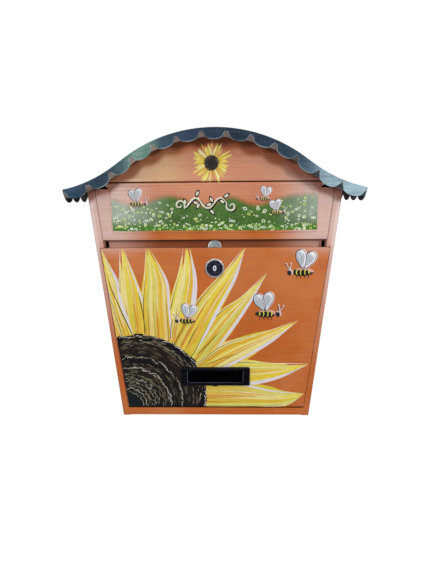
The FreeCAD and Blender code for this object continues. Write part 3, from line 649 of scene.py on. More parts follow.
# %% [markdown]
# ## Folded sheet
# The CAD sheets have the right shape but razor edges. A real fold or shear cut is slightly round,
# and that thin rim is what catches the light. So each sheet's mesh is copied, its loose triangles
# are merged into flat faces, and a small bevel is cut round them. The bevel's faces are marked,
# and the paint thins and pales there.

# %% Bevelled copies of the CAD pieces
FLAT_ANGLE = math.radians(0.6)
BEVEL_FACES = 1                # the bevel's new faces get this material index


def store(mesh, name, kind, domain, values):
    """Write an attribute: one number, vector or colour for each element of the mesh."""
    field = {"FLOAT": "value", "FLOAT_VECTOR": "vector", "FLOAT_COLOR": "color"}[kind]
    if kind != "FLOAT":
        values = [number for value in values for number in value]
    mesh.attributes.new(name, kind, domain).data.foreach_set(field, values)


@contextlib.contextmanager
def editing(mesh):
    """The mesh as a bmesh, written back at the end."""
    soup = bmesh.new()
    soup.from_mesh(mesh)
    yield soup
    soup.to_mesh(mesh)
    soup.free()


def finished(obj, material, body, slot, smooth=35.0):
    """Settle a piece: one finish, smooth shading and a body to ride on; slot is not used."""
    mesh = obj.data
    mesh.materials.clear()
    mesh.materials.append(material)
    mesh.shade_smooth()
    mesh.set_sharp_from_angle(angle=math.radians(smooth))
    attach(obj, body)
    return obj


def applied(obj):
    """Turn the piece's modifiers into plain mesh."""
    depsgraph = bpy.context.evaluated_depsgraph_get()
    mesh = bpy.data.meshes.new_from_object(obj.evaluated_get(depsgraph))
    mesh.name = obj.name
    old = obj.data
    obj.modifiers.clear()
    obj.data = mesh
    bpy.data.meshes.remove(old)


def round_rims(obj, width, segments, angle, material=-1):
    """Round the edges sharper than angle degrees; width in millimetres."""
    bevel = obj.modifiers.new("rim", "BEVEL")
    bevel.width = width * MM
    bevel.segments = segments
    bevel.limit_method = "ANGLE"
    bevel.angle_limit = math.radians(angle)
    bevel.material = material
    applied(obj)


def bevelled(node, material, body, slot, width=0.22, segments=2):
    """Stand in for a CAD piece with the same shape and rounded edges."""
    name = node + "_sheet"
    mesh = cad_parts[node].data.copy()
    mesh.name = name
    with editing(mesh) as soup:
        bmesh.ops.remove_doubles(soup, verts=soup.verts, dist=1e-6)
        bmesh.ops.dissolve_limit(soup, angle_limit=FLAT_ANGLE, verts=soup.verts, edges=soup.edges)
    mesh.materials.clear()
    mesh.materials.append(material)
    mesh.materials.append(material)
    for face in mesh.polygons:
        face.material_index = 0
    obj = placed(name, mesh)
    round_rims(obj, width, segments, 32, BEVEL_FACES)
    faces = obj.data.polygons
    rims = [float(face.material_index == BEVEL_FACES) for face in faces]
    store(obj.data, "edge", "FLOAT", "FACE", rims)
    for face in faces:
        face.material_index = 0
    finished(obj, material, body, slot)
    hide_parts(node)
    print(name, len(faces), "faces")
    return obj


SHEETS = [
    # nodes, finish, body, slot, width of the bevel in millimetres, its segments
    ("back_panel side_panel_left side_panel_right bottom_panel gable_panel flap_rod_lugs",
     enamel, "housing", "copper_enamel", 0.22, 2),
    ("lintel", shaded_enamel, "housing", "copper_enamel", 0.22, 2),
    ("letter_flap", enamel, "flap", "copper_enamel", 0.35, 3),
    ("door_panel", enamel, "door", "copper_enamel", 0.35, 3),
    ("roof_brackets_front roof_brackets_back flap_rod flap_rod_caps door_pin_left door_pin_right",
     zinc, "housing", "zinc_plate", 0.15, 2),
    ("lock_nut", zinc, "door", "zinc_plate", 0.3, 2),
    ("name_plate_clips", zinc, "door", "zinc_plate", 0.1, 2),
    ("lock_cam", zinc, "lock_core", "zinc_plate", 0.9, 3),
    ("cam_washer cam_screw", zinc, "lock_core", "zinc_plate", 0.15, 2),
    ("lock_housing", chrome, "door", "lock_chrome", 0.25, 3),
    ("lock_plug", core_black, "lock_core", "lock_core_black", 0.3, 3),
    ("name_plate_frame", black_plastic, "door", "black_plastic", 0.3, 3),
    ("name_plate_backing", black_plastic, "door", "black_plastic", 0.15, 2),
    ("name_plate_window", clear_window, "door", "clear_window", 0.15, 2),
]
for sheet_nodes, *sheet_finish in SHEETS:
    for sheet_node in sheet_nodes.split():
        bevelled(sheet_node, *sheet_finish)

# %% [markdown]
# ## The roof
# The roof is one sheet bent over the arch, its front and side edges cut into scallops and folded
# down by hand, one tab at a time. The tabs are never quite alike, so they are built one by one
# along the same curve as the sheet, each with its own small lean. Every tab is a little grid, and
# its lowest row is the cut edge, which shows as a pale line where the paint is thin.

# %% A slab of two grids


def outward(obj):
    with editing(obj.data) as soup:
        bmesh.ops.recalc_face_normals(soup, faces=soup.faces)


def closed_slab(front, back, rows, columns):
    """Verts and faces of a slab whose two skins are grids of rows x columns points."""
    verts = front + back
    count = rows * columns
    faces = []
    for r in range(rows - 1):
        for c in range(columns - 1):
            a = r * columns + c
            faces.append((a, a + 1, a + columns + 1, a + columns))
            faces.append((count + a, count + a + columns, count + a + columns + 1, count + a + 1))
    ring = list(range(columns))
    ring += [r * columns + columns - 1 for r in range(1, rows)]
    ring += [(rows - 1) * columns + c for c in range(columns - 2, -1, -1)]
    ring += [r * columns for r in range(rows - 2, 0, -1)]
    for a, b in zip(ring, ring[1:] + ring[:1]):
        faces.append((a, a + count, b + count, b))
    return verts, faces

# %% The bent sheet


def make_roof_sheet():
    columns, rows = 97, 9
    top, under = [], []
    for r in range(rows):
        y = ROOF_FRONT - ROOF_FRONT * r / (rows - 1)
        for c in range(columns):
            run = -HALF_RUN + 2 * HALF_RUN * c / (columns - 1)
            for skin, depth in ((top, 0.0), (under, SHEET)):
                x, z = roof_at(run, depth)
                skin.append((x, y, z))
    verts, faces = closed_slab(top, under, rows, columns)
    obj = mesh_piece("roof_sheet", verts, faces)
    outward(obj)
    round_rims(obj, 0.2, 2, 40)
    # the underside is marked inner, where the shader paints shade
    store(obj.data, "inner", "FLOAT", "FACE", [float(f.normal.z < -0.3) for f in obj.data.polygons])
    tinted(obj, roof_tone)
    return finished(obj, patina, "housing", "roof_patina")

# %% The scalloped tabs
FRONT_TABS, SIDE_TABS = 13, 4
FRONT_TAB_DEPTH = 13.0 * MM
SIDE_TAB_DEPTH = 15.0 * MM
RELIEF_DEPTH = 2.4 * MM
RELIEF_WIDTH = 6.5 * MM


def relief(fall):
    """Half of the V between two front tabs, at a depth below the roof's top side."""
    return RELIEF_WIDTH * max(0.0, fall - RELIEF_DEPTH) / (FRONT_TAB_DEPTH - RELIEF_DEPTH)


def no_relief(fall):
    return 0.0


def tab_grid(place, half, depth, cut, lean, seed):
    """One tab as a closed slab. place(share, down, inwards) gives a point on or behind its face."""
    rows, columns = 9, 17
    rise = depth / 2
    radius = (half * half + rise * rise) / (2 * rise)
    shares = [-1 + 2 * c / (columns - 1) for c in range(columns)]
    reaches = []
    for share in shares:
        reach = depth
        for _ in range(8):
            across = share * (half - cut(reach))
            reach = depth - radius + math.sqrt(radius * radius - across * across)
        reaches.append(reach)
    face, back = [], []
    for r in range(rows):
        down = r / (rows - 1)
        for share, reach in zip(shares, reaches):
            fall = down * reach
            narrow = 0.998 * (half - cut(fall)) / half
            wave = noise.noise(Vector((share * 1.3, down * 1.5, seed * 7.1))) * 0.16 * MM * down
            setback = lean * down * down * depth + abs(wave)
            face.append(place(share * narrow, fall, setback))
            back.append(place(share * narrow, fall, setback + SHEET))
    verts, faces = closed_slab(face, back, rows, columns)
    rim = set(range((rows - 1) * columns, rows * columns))
    rim |= {r * columns + c for r in range(3, rows) for c in (0, columns - 1)}
    return verts, faces, rim


def make_tabs(name, tabs, inside):
    """Join tabs into one piece, their cut edges marked for the rim wear, their backs as inner."""
    verts, faces, rims = [], [], set()
    for tab_verts, tab_faces, rim in tabs:
        base = len(verts)
        half = len(tab_verts) // 2
        verts += tab_verts
        faces += [tuple(base + i for i in face) for face in tab_faces]
        rims |= {base + i for i in rim} | {base + half + i for i in rim}
    obj = mesh_piece(name, verts, faces)
    outward(obj)
    backs = [float(inside(f.normal, f.center)) for f in obj.data.polygons]
    store(obj.data, "edge", "FLOAT", "POINT", [float(i in rims) for i in range(len(verts))])
    store(obj.data, "inner", "FLOAT", "FACE", backs)
    tinted(obj, roof_tone)
    return finished(obj, patina, "housing", "roof_patina", 40)


def front_tab(k, rng):
    pitch = 2 * HALF_RUN / FRONT_TABS
    middle = -HALF_RUN + (k + 0.5) * pitch

    def place(share, fall, setback):
        x, z = roof_at(middle + share * pitch / 2, fall + 0.1 * MM)
        return (x, ROOF_FRONT + setback, z)

    return tab_grid(place, pitch / 2, FRONT_TAB_DEPTH, relief, rng.uniform(0.0, 0.03), k)


def side_tab(k, side, rng):
    pitch = -ROOF_FRONT / SIDE_TABS
    middle = ROOF_FRONT + (k + 0.5) * pitch
    eave_x, eave_z = roof_at(HALF_RUN)

    def place(share, fall, setback):
        return (side * (eave_x - setback), middle + share * pitch / 2, eave_z - fall - 0.1 * MM)

    lean = rng.uniform(0.01, 0.10)
    return tab_grid(place, pitch / 2, SIDE_TAB_DEPTH, no_relief, lean, k + 20 * side)


def strip_tone(p):
    """The strip behind the tabs: pale on the left flank, where light through the notches is painted
    in, grey-brown in the middle, then dark.
    """
    pale, grey, dark = rgb(158, 142, 122), rgb(112, 96, 90), rgb(52, 58, 70)
    left = max(0.0, 1 - abs(p.x / MM + 90) / 50)
    right = clamp((p.x / MM - 60) / 40)
    return mixed(mixed(grey, pale, left), dark, right)


def make_roof():
    rng = random.Random(7)
    sheet = make_roof_sheet()
    front = make_tabs("roof_front_scallops", [front_tab(k, rng) for k in range(FRONT_TABS)],
                      lambda normal, centre: normal.y > 0.3)
    sides = [side_tab(k, side, rng) for side in (-1, 1) for k in range(SIDE_TABS)]
    flanks = make_tabs("roof_side_scallops", sides,
                       lambda normal, centre: normal.x * centre.x < -0.3 * abs(centre.x))
    for piece in (sheet, front, flanks):
        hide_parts("roof")
        print(piece.name, len(piece.data.polygons), "faces")
    tinted(bevelled("roof_edge_strip", strip_paint, "housing", "zinc_plate", 0.15), strip_tone)


make_roof()

# %% [markdown]
# ## Strokes of paint
# The picture on the front is not a decal but brushwork, with ridges at the edge of each stroke.
# A stroke here is a narrow ribbon: a spine of a few points drawn as a smooth curve, a width that
# swells and tapers, and a colour for its left edge, middle and right edge. Its rims dip just
# below the panel, so it sits on the sheet as a thin closed skin of paint would. Later strokes lie
# a few microns higher than earlier ones, as they do on the real door.

# %% The brush
LAYER = 0.003 * MM
CROWN = 0.05 * MM
ACROSS = 5                     # points across a stroke
RIM = -0.04 * MM               # a stroke's rims dip just below the panel
PAINT_GRAIN = 0.37             # shifts the bristle lines from one layer to the next


def smooth_line(points, steps):
    """Points along a smooth curve through the given points."""
    line = [Vector(p) for p in points]
    ends = [2 * line[0] - line[1]] + line + [2 * line[-1] - line[-2]]
    spans = len(line) - 1
    out = []
    for i in range(steps + 1):
        at = spans * i / steps
        k = min(int(at), spans - 1)
        t = at - k
        p0, p1, p2, p3 = ends[k:k + 4]
        out.append(0.5 * (2 * p1 + (p2 - p0) * t + (2 * p0 - 5 * p1 + 4 * p2 - p3) * t * t
                          + (3 * p1 - p0 - 3 * p2 + p3) * t ** 3))
    return out


def across(colours, share):
    """A colour between left, middle and right."""
    left, middle, right = colours
    return mixed(left, middle, share * 2) if share < 0.5 else mixed(middle, right, share * 2 - 1)


class Picture:
    """Everything painted on one panel, gathered into one mesh."""

    def __init__(self, name, surface_y, inside=None):
        self.name, self.y, self.inside = name, surface_y, inside
        self.verts, self.faces, self.tints, self.brush = [], [], [], []
        self.layer = 0

    def add(self, x, z, height, tint, brush):
        if self.inside:
            x, z = self.inside(x, z)
        self.verts.append((x * MM, self.y - height, z * MM))
        self.tints.append((*tint, 1.0))
        self.brush.append(brush)

    def grid(self, base, rows, columns):
        """Faces over a grid of points that starts at base."""
        for r in range(rows):
            for c in range(columns):
                a = base + r * (columns + 1) + c
                self.faces.append((a, a + 1, a + columns + 2, a + columns + 1))

    def stroke(self, spine, width, colours, steps=14, taper=(0.0, 0.0), wobble=0.0, seed=0):
        """Draw along spine, in millimetres. colours: left, middle, right, at root then tip."""
        self.layer += 1
        line = smooth_line([(x, z) for x, z in spine], steps)
        root, tip = colours if isinstance(colours[0][0], tuple) else (colours, colours)
        base = len(self.verts)
        run = 0.0
        for i, here in enumerate(line):
            t = i / steps
            ahead = line[min(i + 1, steps)] - line[max(i - 1, 0)]
            side = Vector((-ahead.y, ahead.x)).normalized() if ahead.length > 0 else Vector((1, 0))
            swell = min(1.0, taper[0] + (1 - taper[0]) * min(1.0, t / 0.18) ** 0.6)
            swell *= min(1.0, taper[1] + (1 - taper[1]) * min(1.0, (1 - t) / 0.30) ** 0.7)
            wide = width(t) if callable(width) else width
            half = max(wide * swell / 2, 0.02)
            if wobble:
                half *= 1 + wobble * noise.noise(Vector((t * 6, seed * 3.7, 0.5)))
            run += (here - line[max(i - 1, 0)]).length
            for j in range(ACROSS):
                u = -1 + 2 * j / (ACROSS - 1)
                rim = j in (0, ACROSS - 1)
                height = RIM if rim else self.layer * LAYER + CROWN * (1 - 0.6 * u * u)
                spot = here + side * half * u * (1.02 if rim else 1)
                pick = (u + 1) / 2
                self.add(spot.x, spot.y, height, mixed(across(root, pick), across(tip, pick), t),
                         (half * u * 2.2 + seed * 9.0, run, self.layer * PAINT_GRAIN))
        for i in range(steps):
            for j in range(ACROSS - 1):
                a = base + i * ACROSS + j
                self.faces.append((a, a + ACROSS, a + ACROSS + 1, a + 1))

    def blob(self, outline, tint, rim_tint=None):
        """Fill a closed outline as a fan of paint round its middle."""
        self.layer += 1
        rim_tint = rim_tint or tint
        line = smooth_line(outline + [outline[0]], len(outline) * 5)[:-1]
        middle = sum(line, Vector((0, 0))) / len(line)
        base = len(self.verts)
        lift, grain = self.layer * LAYER, self.layer * PAINT_GRAIN
        self.add(middle.x, middle.y, lift + CROWN, tint, (middle.x, middle.y, grain))
        for share, up in ((0.6, lift + CROWN * 0.8), (0.97, lift), (1.0, RIM)):
            for p in line:
                spot = middle + (p - middle) * share
                self.add(spot.x, spot.y, up, mixed(tint, rim_tint, share), (spot.x, spot.y, grain))
        count = len(line)
        for i in range(count):
            k = (i + 1) % count
            self.faces.append((base, base + 1 + i, base + 1 + k))
            for ring in range(2):
                a, b = base + 1 + ring * count, base + 1 + (ring + 1) * count
                self.faces.append((a + i, b + i, b + k, a + k))

    def finish(self, material, body):
        obj = mesh_piece(self.name, self.verts, self.faces)
        mesh = obj.data
        store(mesh, "tint", "FLOAT_COLOR", "POINT", self.tints)
        store(mesh, "brush", "FLOAT_VECTOR", "POINT", self.brush)
        with editing(mesh) as soup:
            for face in soup.faces:
                if face.normal.y > 0:
                    face.normal_flip()
            flat = [f for f in soup.faces if f.calc_area() < 1e-12]
            bmesh.ops.delete(soup, geom=flat, context="FACES")
        finished(obj, material, body, "copper_enamel", 60)
        print(self.name, len(mesh.polygons), "faces,", self.layer, "strokes")
        return obj

# %% [markdown]
# ## The big sunflower
# The flower grows out of the door's lower left corner: a dark seed head with nine long petals and
# a narrow one behind them. A petal is drawn as the painter does it: a flat coat, then four to
# eight long pulls of a loaded brush from the seed head to the tip, each a slightly different
# yellow, then a dark line or two at the root and one pale edge where the light falls.

# %% Door paint: limits and palette
DOOR_TOP = door_high[2] / MM - 0.4
DOOR_FOOT = door_low[2] / MM + 1.2
DOOR_HALF_TOP = door_high[0] / MM - 0.6
DOOR_NARROW = (142.0 - 116.8) / 214.2   # loss of half width per millimetre down
EDGE_STEPS = 20                         # points along a petal's edge


def on_door(x, z):
    """Keep a point of paint inside the door's front face."""
    z = min(max(z, DOOR_FOOT), DOOR_TOP)
    half = DOOR_HALF_TOP - DOOR_NARROW * (DOOR_TOP - z)
    return min(max(x, -half), half), z


YELLOW = rgb(236, 206, 44)
LEMON = rgb(240, 228, 92)
CREAM = rgb(246, 238, 176)
OCHRE = rgb(226, 168, 44)
AMBER = rgb(214, 122, 40)
RUST_PALE = rgb(188, 96, 44)
OLIVE = rgb(158, 148, 46)
MOSS = rgb(84, 80, 26)
BROWN = rgb(40, 28, 14)
LILAC = rgb(214, 204, 210)
SNOW = rgb(242, 236, 236)
PALE_GREEN = rgb(214, 222, 132)
SEED_HEAD = Vector((-99.0, -124.0))
SEED_RADIUS = 92.0

WHITE_GREY = rgb(196, 192, 200)
print("paint on the door:", round(2 * DOOR_HALF_TOP), "mm wide at the top")
SUN = [YELLOW, YELLOW, LEMON, CREAM, OCHRE, PALE_GREEN, OCHRE]


def along(edge, t):
    """A point at share t of an edge given by a few points."""
    line = smooth_line(edge, EDGE_STEPS)
    at = t * EDGE_STEPS
    k = min(int(at), EDGE_STEPS - 1)
    return line[k].lerp(line[k + 1], at - k)


def petal(picture, left, right, pulls, rng, pale=0.0, warm=0.3):
    """A petal between two edges that run to a shared tip; pale is the light rim's width."""
    count = 7
    left, right = [under_head(left[0])] + left, [under_head(right[0])] + right

    def spine(share, start=0.0, end=1.0):
        points = []
        for i in range(count):
            t = start + (end - start) * i / (count - 1)
            p = along(left, t).lerp(along(right, t), share)
            points.append((p.x, p.y))
        return points

    def gap(t):
        return max((along(left, t) - along(right, t)).length, 0.5)

    coat = mixed(YELLOW, OCHRE, 0.25)
    picture.stroke(spine(0.5), gap, ((OLIVE, coat, OLIVE), (YELLOW, LEMON, YELLOW)), 20, (1.0, 0.1))
    order = [(i + 0.5) / pulls for i in range(pulls)]
    rng.shuffle(order)
    for share in order:
        hue, other = rng.choice(SUN), rng.choice(SUN)
        root_hue = rng.choice((OCHRE, AMBER, PALE_GREEN, OLIVE))
        rootward = mixed(hue, root_hue, warm + 0.3 * rng.random())
        start, end = max(0.0, rng.uniform(-0.2, 0.25)), min(1.0, rng.uniform(0.72, 1.1))
        shade = mixed(hue, other, 0.5)
        base, crest = mixed(coat, rootward, 0.25), mixed(YELLOW, shade, 0.25)
        colours = ((base, mixed(coat, rootward, 0.75), base),
                   (crest, mixed(YELLOW, hue, 0.75), crest))
        picture.stroke(spine(share, start, end),
                       lambda t: gap(start + (end - start) * t) / pulls * 2.4,
                       colours, 16, (0.6, 0.1), 0.25, rng.random() * 50)
    for share, hue, start, end, wide in (
            (rng.uniform(0.35, 0.6), AMBER, 0.16, rng.uniform(0.45, 0.6), 4.2),
            (rng.uniform(0.45, 0.7), OCHRE, 0.20, rng.uniform(0.6, 0.8), 4.0),
            (rng.uniform(0.15, 0.3), RUST_PALE, 0.22, rng.uniform(0.40, 0.5), 1.8),
            (rng.uniform(0.25, 0.5), CREAM, rng.uniform(0.25, 0.4), 0.95, 2.0),
            (rng.uniform(0.5, 0.75), SNOW, rng.uniform(0.3, 0.5), 0.9, 1.2)):
        soft = mixed(hue, YELLOW, 0.8)
        picture.stroke(spine(share, start, end), 1.5 * wide, (soft, mixed(hue, YELLOW, 0.15), soft),
                       14, (0.1, 0.0), 0.5, rng.random() * 50)
    for share in (rng.uniform(0.04, 0.12), rng.uniform(0.3, 0.7), rng.uniform(0.86, 0.95)):
        picture.stroke(spine(share, 0.1, rng.uniform(0.35, 0.6)), rng.uniform(1.0, 1.9),
                       ((BROWN, MOSS, OLIVE), (OLIVE, OLIVE, YELLOW)), 14, (0.8, 0.0), 0.3,
                       rng.random() * 50)
    if pale:
        pale_edge(picture, spine, pale, rng)


def pale_edge(picture, spine, pale, rng):
    """A dark and a pale line on one edge, and the broad light rim a little inside the other."""
    picture.stroke(spine(0.03, 0.12, 0.75), 1.5, (BROWN, MOSS, OLIVE), 16, (0.6, 0.0), 0.35,
                   rng.random() * 50)
    picture.stroke(spine(0.0, 0.45, 1.0), 1.1, (LILAC, SNOW, YELLOW), 14, (0.0, 0.0), 0.4,
                   rng.random() * 50)
    rim = []
    for (x, z), (mx, mz) in zip(spine(1.0, 0.24, 1.0), spine(0.5, 0.24, 1.0)):
        step = min(0.22 * pale / max(math.hypot(mx - x, mz - z), 0.1), 0.9)
        rim.append((x + (mx - x) * step, z + (mz - z) * step))

    def swell(t):
        return 1.35 * pale * (0.35 + 0.65 * math.sin(math.pi * min(1, 0.12 + t * 0.95)))

    picture.stroke(rim, swell, ((LILAC, SNOW, LILAC), (SNOW, LILAC, SNOW)), 18, (0.1, 0.0), 0.25,
                   rng.random() * 50)
    picture.stroke(rim, 0.8, (LILAC, WHITE_GREY, LILAC), 18, (0.0, 0.0), 0.3, rng.random() * 50)


def under_head(root):
    """A point 9 mm nearer to the seed head's middle, so that the petal starts below its rim."""
    root = Vector(root)
    inward = root + (SEED_HEAD - root).normalized() * 9
    return (inward.x, inward.y)

# %% The petals
PETALS = [
    # one edge, other edge (root to tip, in millimetres), pulls, width of the pale rim, warmth
    ([(-134, -44), (-140, 0), (-139, 40)],
     [(-114, -38), (-126, -10), (-137, 42)], 4, 0.0, 0.1),
    ([(-122, -34), (-137, 30), (-143, 75)],
     [(-105, -36), (-119, 6), (-124, 36), (-141, 77)], 5, 4.6, 0.2),
    ([(-117, -36), (-121, 8), (-119, 50), (-117, 77)],
     [(-86, -38), (-91, 4), (-102, 42), (-113, 77)], 7, 3.0, 0.35),
    ([(-92, -38), (-92, 4), (-88, 40), (-85, 77)],
     [(-56, -44), (-58, 4), (-61, 36), (-81, 77)], 8, 3.8, 0.4),
    ([(-66, -42), (-57, 0), (-45, 45), (-38, 78)],
     [(-34, -52), (-26, 10), (-24, 38), (-30, 78)], 8, 6.0, 0.15),
    ([(-53, -46), (-22, 8), (12, 46), (37, 77)],
     [(-24, -60), (4, -4), (26, 38), (39, 78)], 8, 4.6, 0.25),
    ([(-32, -58), (0, -12), (32, 12), (64, 44)],
     [(-12, -74), (20, -32), (48, 12), (65, 43)], 8, 3.8, 0.3),
    ([(-22, -74), (10, -50), (56, -36), (106, -17)],
     [(-8, -92), (38, -68), (76, -43), (106, -19)], 7, 4.2, 0.25),
    ([(-14, -88), (22, -74), (74, -76), (122, -76)],
     [(-10, -110), (40, -106), (84, -96), (121, -78)], 7, 4.6, 0.45),
    ([(-16, -138), (50, -138), (94, -134), (116, -120)],
     [(-14, -104), (28, -104), (72, -114), (117, -118)], 7, 3.6, 0.45),
]
PETAL_GAPS = [
    # dark line between two petals: start, end, width
    ((-107, -36), (-135, 36), 2.2), ((-90, -32), (-97, 20), 1.6), ((-58, -42), (-54, -16), 1.4),
    ((-36, -52), (-20, -22), 1.2), ((-24, -64), (8, -30), 1.2), ((-14, -78), (30, -62), 1.2),
]
GAPS_LAYER = 54                # above every petal, below the seed head


def paint_petals():
    rng = random.Random(21)
    picture = Picture("door_sunflower_petals", DOOR_Y, on_door)
    for k, (left, right, pulls, pale, warm) in enumerate(PETALS):
        picture.layer = 26 * (k % 2)
        petal(picture, left, right, pulls, rng, pale, warm)
    picture.layer = GAPS_LAYER
    for (x0, z0), (x1, z1), wide in PETAL_GAPS:
        bend = ((x0 + x1) / 2 + rng.uniform(-1, 1), (z0 + z1) / 2 + rng.uniform(-1, 1))
        picture.stroke([(x0, z0), bend, (x1, z1)], wide,
                       ((BROWN, BROWN, MOSS), (MOSS, MOSS, OLIVE)), 12, (0.7, 0.0), 0.3,
                       rng.random() * 50)
    return picture.finish(petal_paint, "door")


paint_petals()

# %% [markdown]
# ## The seed head
# The head is a black disc with bands of short curled dabs, grey, cream and brown, that follow the
# rings of seeds. There are several hundred dabs, so they are not drawn one by one: a loop sets a
# point, a turn, a size and a colour for each, and one Geometry Nodes tree puts a curled dab on
# every point. Trees of the same kind lay the little rings and dots of the meadow's flowers.

# %% One tree for everything that repeats


def geometry_tree(name, profile):
    """A tree that puts a small shape on each vertex, turned and sized by its attributes."""
    tree = bpy.data.node_groups.new(name, "GeometryNodeTree")
    for label, direction, kind in (("Geometry", "INPUT", "NodeSocketGeometry"),
                                   ("Thickness", "INPUT", FLOAT),
                                   ("Finish", "INPUT", "NodeSocketMaterial"),
                                   ("Geometry", "OUTPUT", "NodeSocketGeometry")):
        tree.interface.new_socket(name=label, in_out=direction, socket_type=kind)
    ins, outs = tree.nodes.new("NodeGroupInput"), tree.nodes.new("NodeGroupOutput")
    shape = profile(tree, ins.outputs["Thickness"])

    def named(label, kind):
        node = put(tree, "GeometryNodeInputNamedAttribute", {"Name": label}, data_type=kind)
        return node.outputs[0]

    turn = put(tree, "FunctionNodeEulerToRotation", {0: named("turn", "FLOAT_VECTOR")})
    spread = put(tree, "GeometryNodeInstanceOnPoints",
                 {"Points": ins.outputs["Geometry"], "Instance": shape, "Rotation": turn.outputs[0],
                  "Scale": named("size", "FLOAT_VECTOR")})
    real = put(tree, "GeometryNodeRealizeInstances", {"Geometry": spread.outputs[0]})
    dressed = put(tree, "GeometryNodeSetMaterial", {"Geometry": real.outputs[0],
                                                    "Material": ins.outputs["Finish"]})
    tree.links.new(dressed.outputs[0], outs.inputs[0])
    return tree


def swept(tree, curve, thickness, sides):
    """A thin bead along a curve."""
    circle = put(tree, "GeometryNodeCurvePrimitiveCircle", {"Resolution": sides})
    tree.links.new(thickness, circle.inputs["Radius"])
    bead = put(tree, "GeometryNodeCurveToMesh", {"Curve": curve, "Profile Curve": circle.outputs[0],
                                                 "Fill Caps": True})
    return bead.outputs[0]


def curled_dab(tree, thickness):
    arc = put(tree, "GeometryNodeCurveArc", {"Resolution": 7, "Radius": 1.0, "Start Angle": 0.5,
                                             "Sweep Angle": 2.2})
    return swept(tree, arc.outputs[0], thickness, 5)


def little_ring(tree, thickness):
    ring = put(tree, "GeometryNodeCurvePrimitiveCircle", {"Resolution": 9, "Radius": 1.0})
    return swept(tree, ring.outputs[0], thickness, 5)


def little_dot(tree, thickness):
    ball = put(tree, "GeometryNodeMeshUVSphere", {"Segments": 24, "Rings": 12, "Radius": 1.0})
    return ball.outputs[0]


DABS = geometry_tree("curled_dabs", curled_dab)
RINGS = geometry_tree("little_rings", little_ring)
DOTS = geometry_tree("little_dots", little_dot)


def scatter(name, tree, points, thickness, material, body, slot="copper_enamel"):
    """points: (place in metres, turn in radians, size, colour) for each repeat."""
    obj = mesh_piece(name, [p[0] for p in points], [])
    for label, kind, index in (("turn", "FLOAT_VECTOR", 1), ("size", "FLOAT_VECTOR", 2),
                               ("tint", "FLOAT_COLOR", 3), ("brush", "FLOAT_VECTOR", 1)):
        store(obj.data, label, kind, "POINT", [p[index] for p in points])
    nodes = obj.modifiers.new("repeat", "NODES")
    nodes.node_group = tree
    ids = {s.name: s.identifier for s in tree.interface.items_tree if s.in_out == "INPUT"}
    nodes[ids["Thickness"]] = thickness
    nodes[ids["Finish"]] = material
    applied(obj)
    finished(obj, material, body, slot, 60)
    print(name, len(points), "repeats,", len(obj.data.polygons), "faces")
    return obj

# %% The seed head's disc and dabs
CORE = rgb(20, 34, 36)
SOOT = rgb(18, 16, 20)
UMBER = rgb(50, 41, 32)
RUST = rgb(98, 82, 58)
SAND = rgb(150, 138, 110)
CHALK = rgb(224, 221, 214)
REED = rgb(186, 190, 150)
DISC_LAYER = 62                # above the petals and the dark lines between them


def ring_centre(radius):
    """The rings are drawn round a point that drifts from the corner to the middle of the head."""
    share = clamp((radius - 20) / 66)
    return (-117 + 18 * share, -137 + 13 * share)


def paint_seed_disc():
    picture = Picture("door_seed_disc", DOOR_Y, on_door)
    picture.layer = DISC_LAYER
    rings, spokes = 16, 60
    for i in range(rings + 1):
        radius = SEED_RADIUS * (i / rings)
        for k in range(spokes + 1):
            angle = math.radians(-12 + 150 * k / spokes)
            ripple = 0.012 * noise.noise(Vector((angle * 5, 3.3, 0)))
            edge = radius * (1 + ripple if i == rings else 1)
            cx, cz = ring_centre(radius)
            x, z = cx + edge * math.cos(angle), cz + edge * math.sin(angle)
            band = 0.5 + 0.5 * math.sin(radius * 0.28 + 0.8)
            tone = mixed(SOOT, UMBER, band * 0.42)
            if radius < 22:
                tone = mixed(CORE, SOOT, radius / 44)
            if radius > 85:
                tone = SOOT
            height = picture.layer * LAYER if i < rings else RIM
            picture.add(x, z, height, tone, (angle * 60, radius * 0.2, 1.0))
    picture.grid(0, rings, spokes)
    rng = random.Random(5)
    for _ in range(360):
        radius = rng.choice((33, 44, 56, 68, 79, 82)) + rng.uniform(-6, 6)
        start = math.radians(rng.uniform(-8, 120))
        sweep = rng.uniform(5, 13) / radius
        spine = [spot_on_ring(radius, start + sweep * i / 3) for i in range(4)]
        warmth = 0.2 + 0.6 * max(0.0, 1 - abs(radius - 80) / 8)
        warmth += 0.4 * max(0.0, 1 - abs(radius - 44) / 9)
        hue = mixed(rng.choice((UMBER, SOOT, RUST)), SAND, warmth * rng.random())
        if inside_door(*spine[0]) and inside_door(*spine[-1]):
            picture.layer = DISC_LAYER + 1 + rng.random() * 8
            picture.stroke(spine, rng.uniform(1.2, 3.0), (SOOT, hue, UMBER), 6, (0.2, 0.1), 0.4,
                           rng.random() * 50)
    return picture.finish(seed_paint, "door")


def spot_on_ring(radius, angle):
    cx, cz = ring_centre(radius)
    return cx + radius * math.cos(angle), cz + radius * math.sin(angle)


def inside_door(x, z, margin=1.2):
    kept = on_door(x, z)
    half = DOOR_HALF_TOP - DOOR_NARROW * (DOOR_TOP - z)
    return abs(kept[1] - z) < 1e-6 and abs(x) < half - margin and z > DOOR_FOOT + margin * 0.6


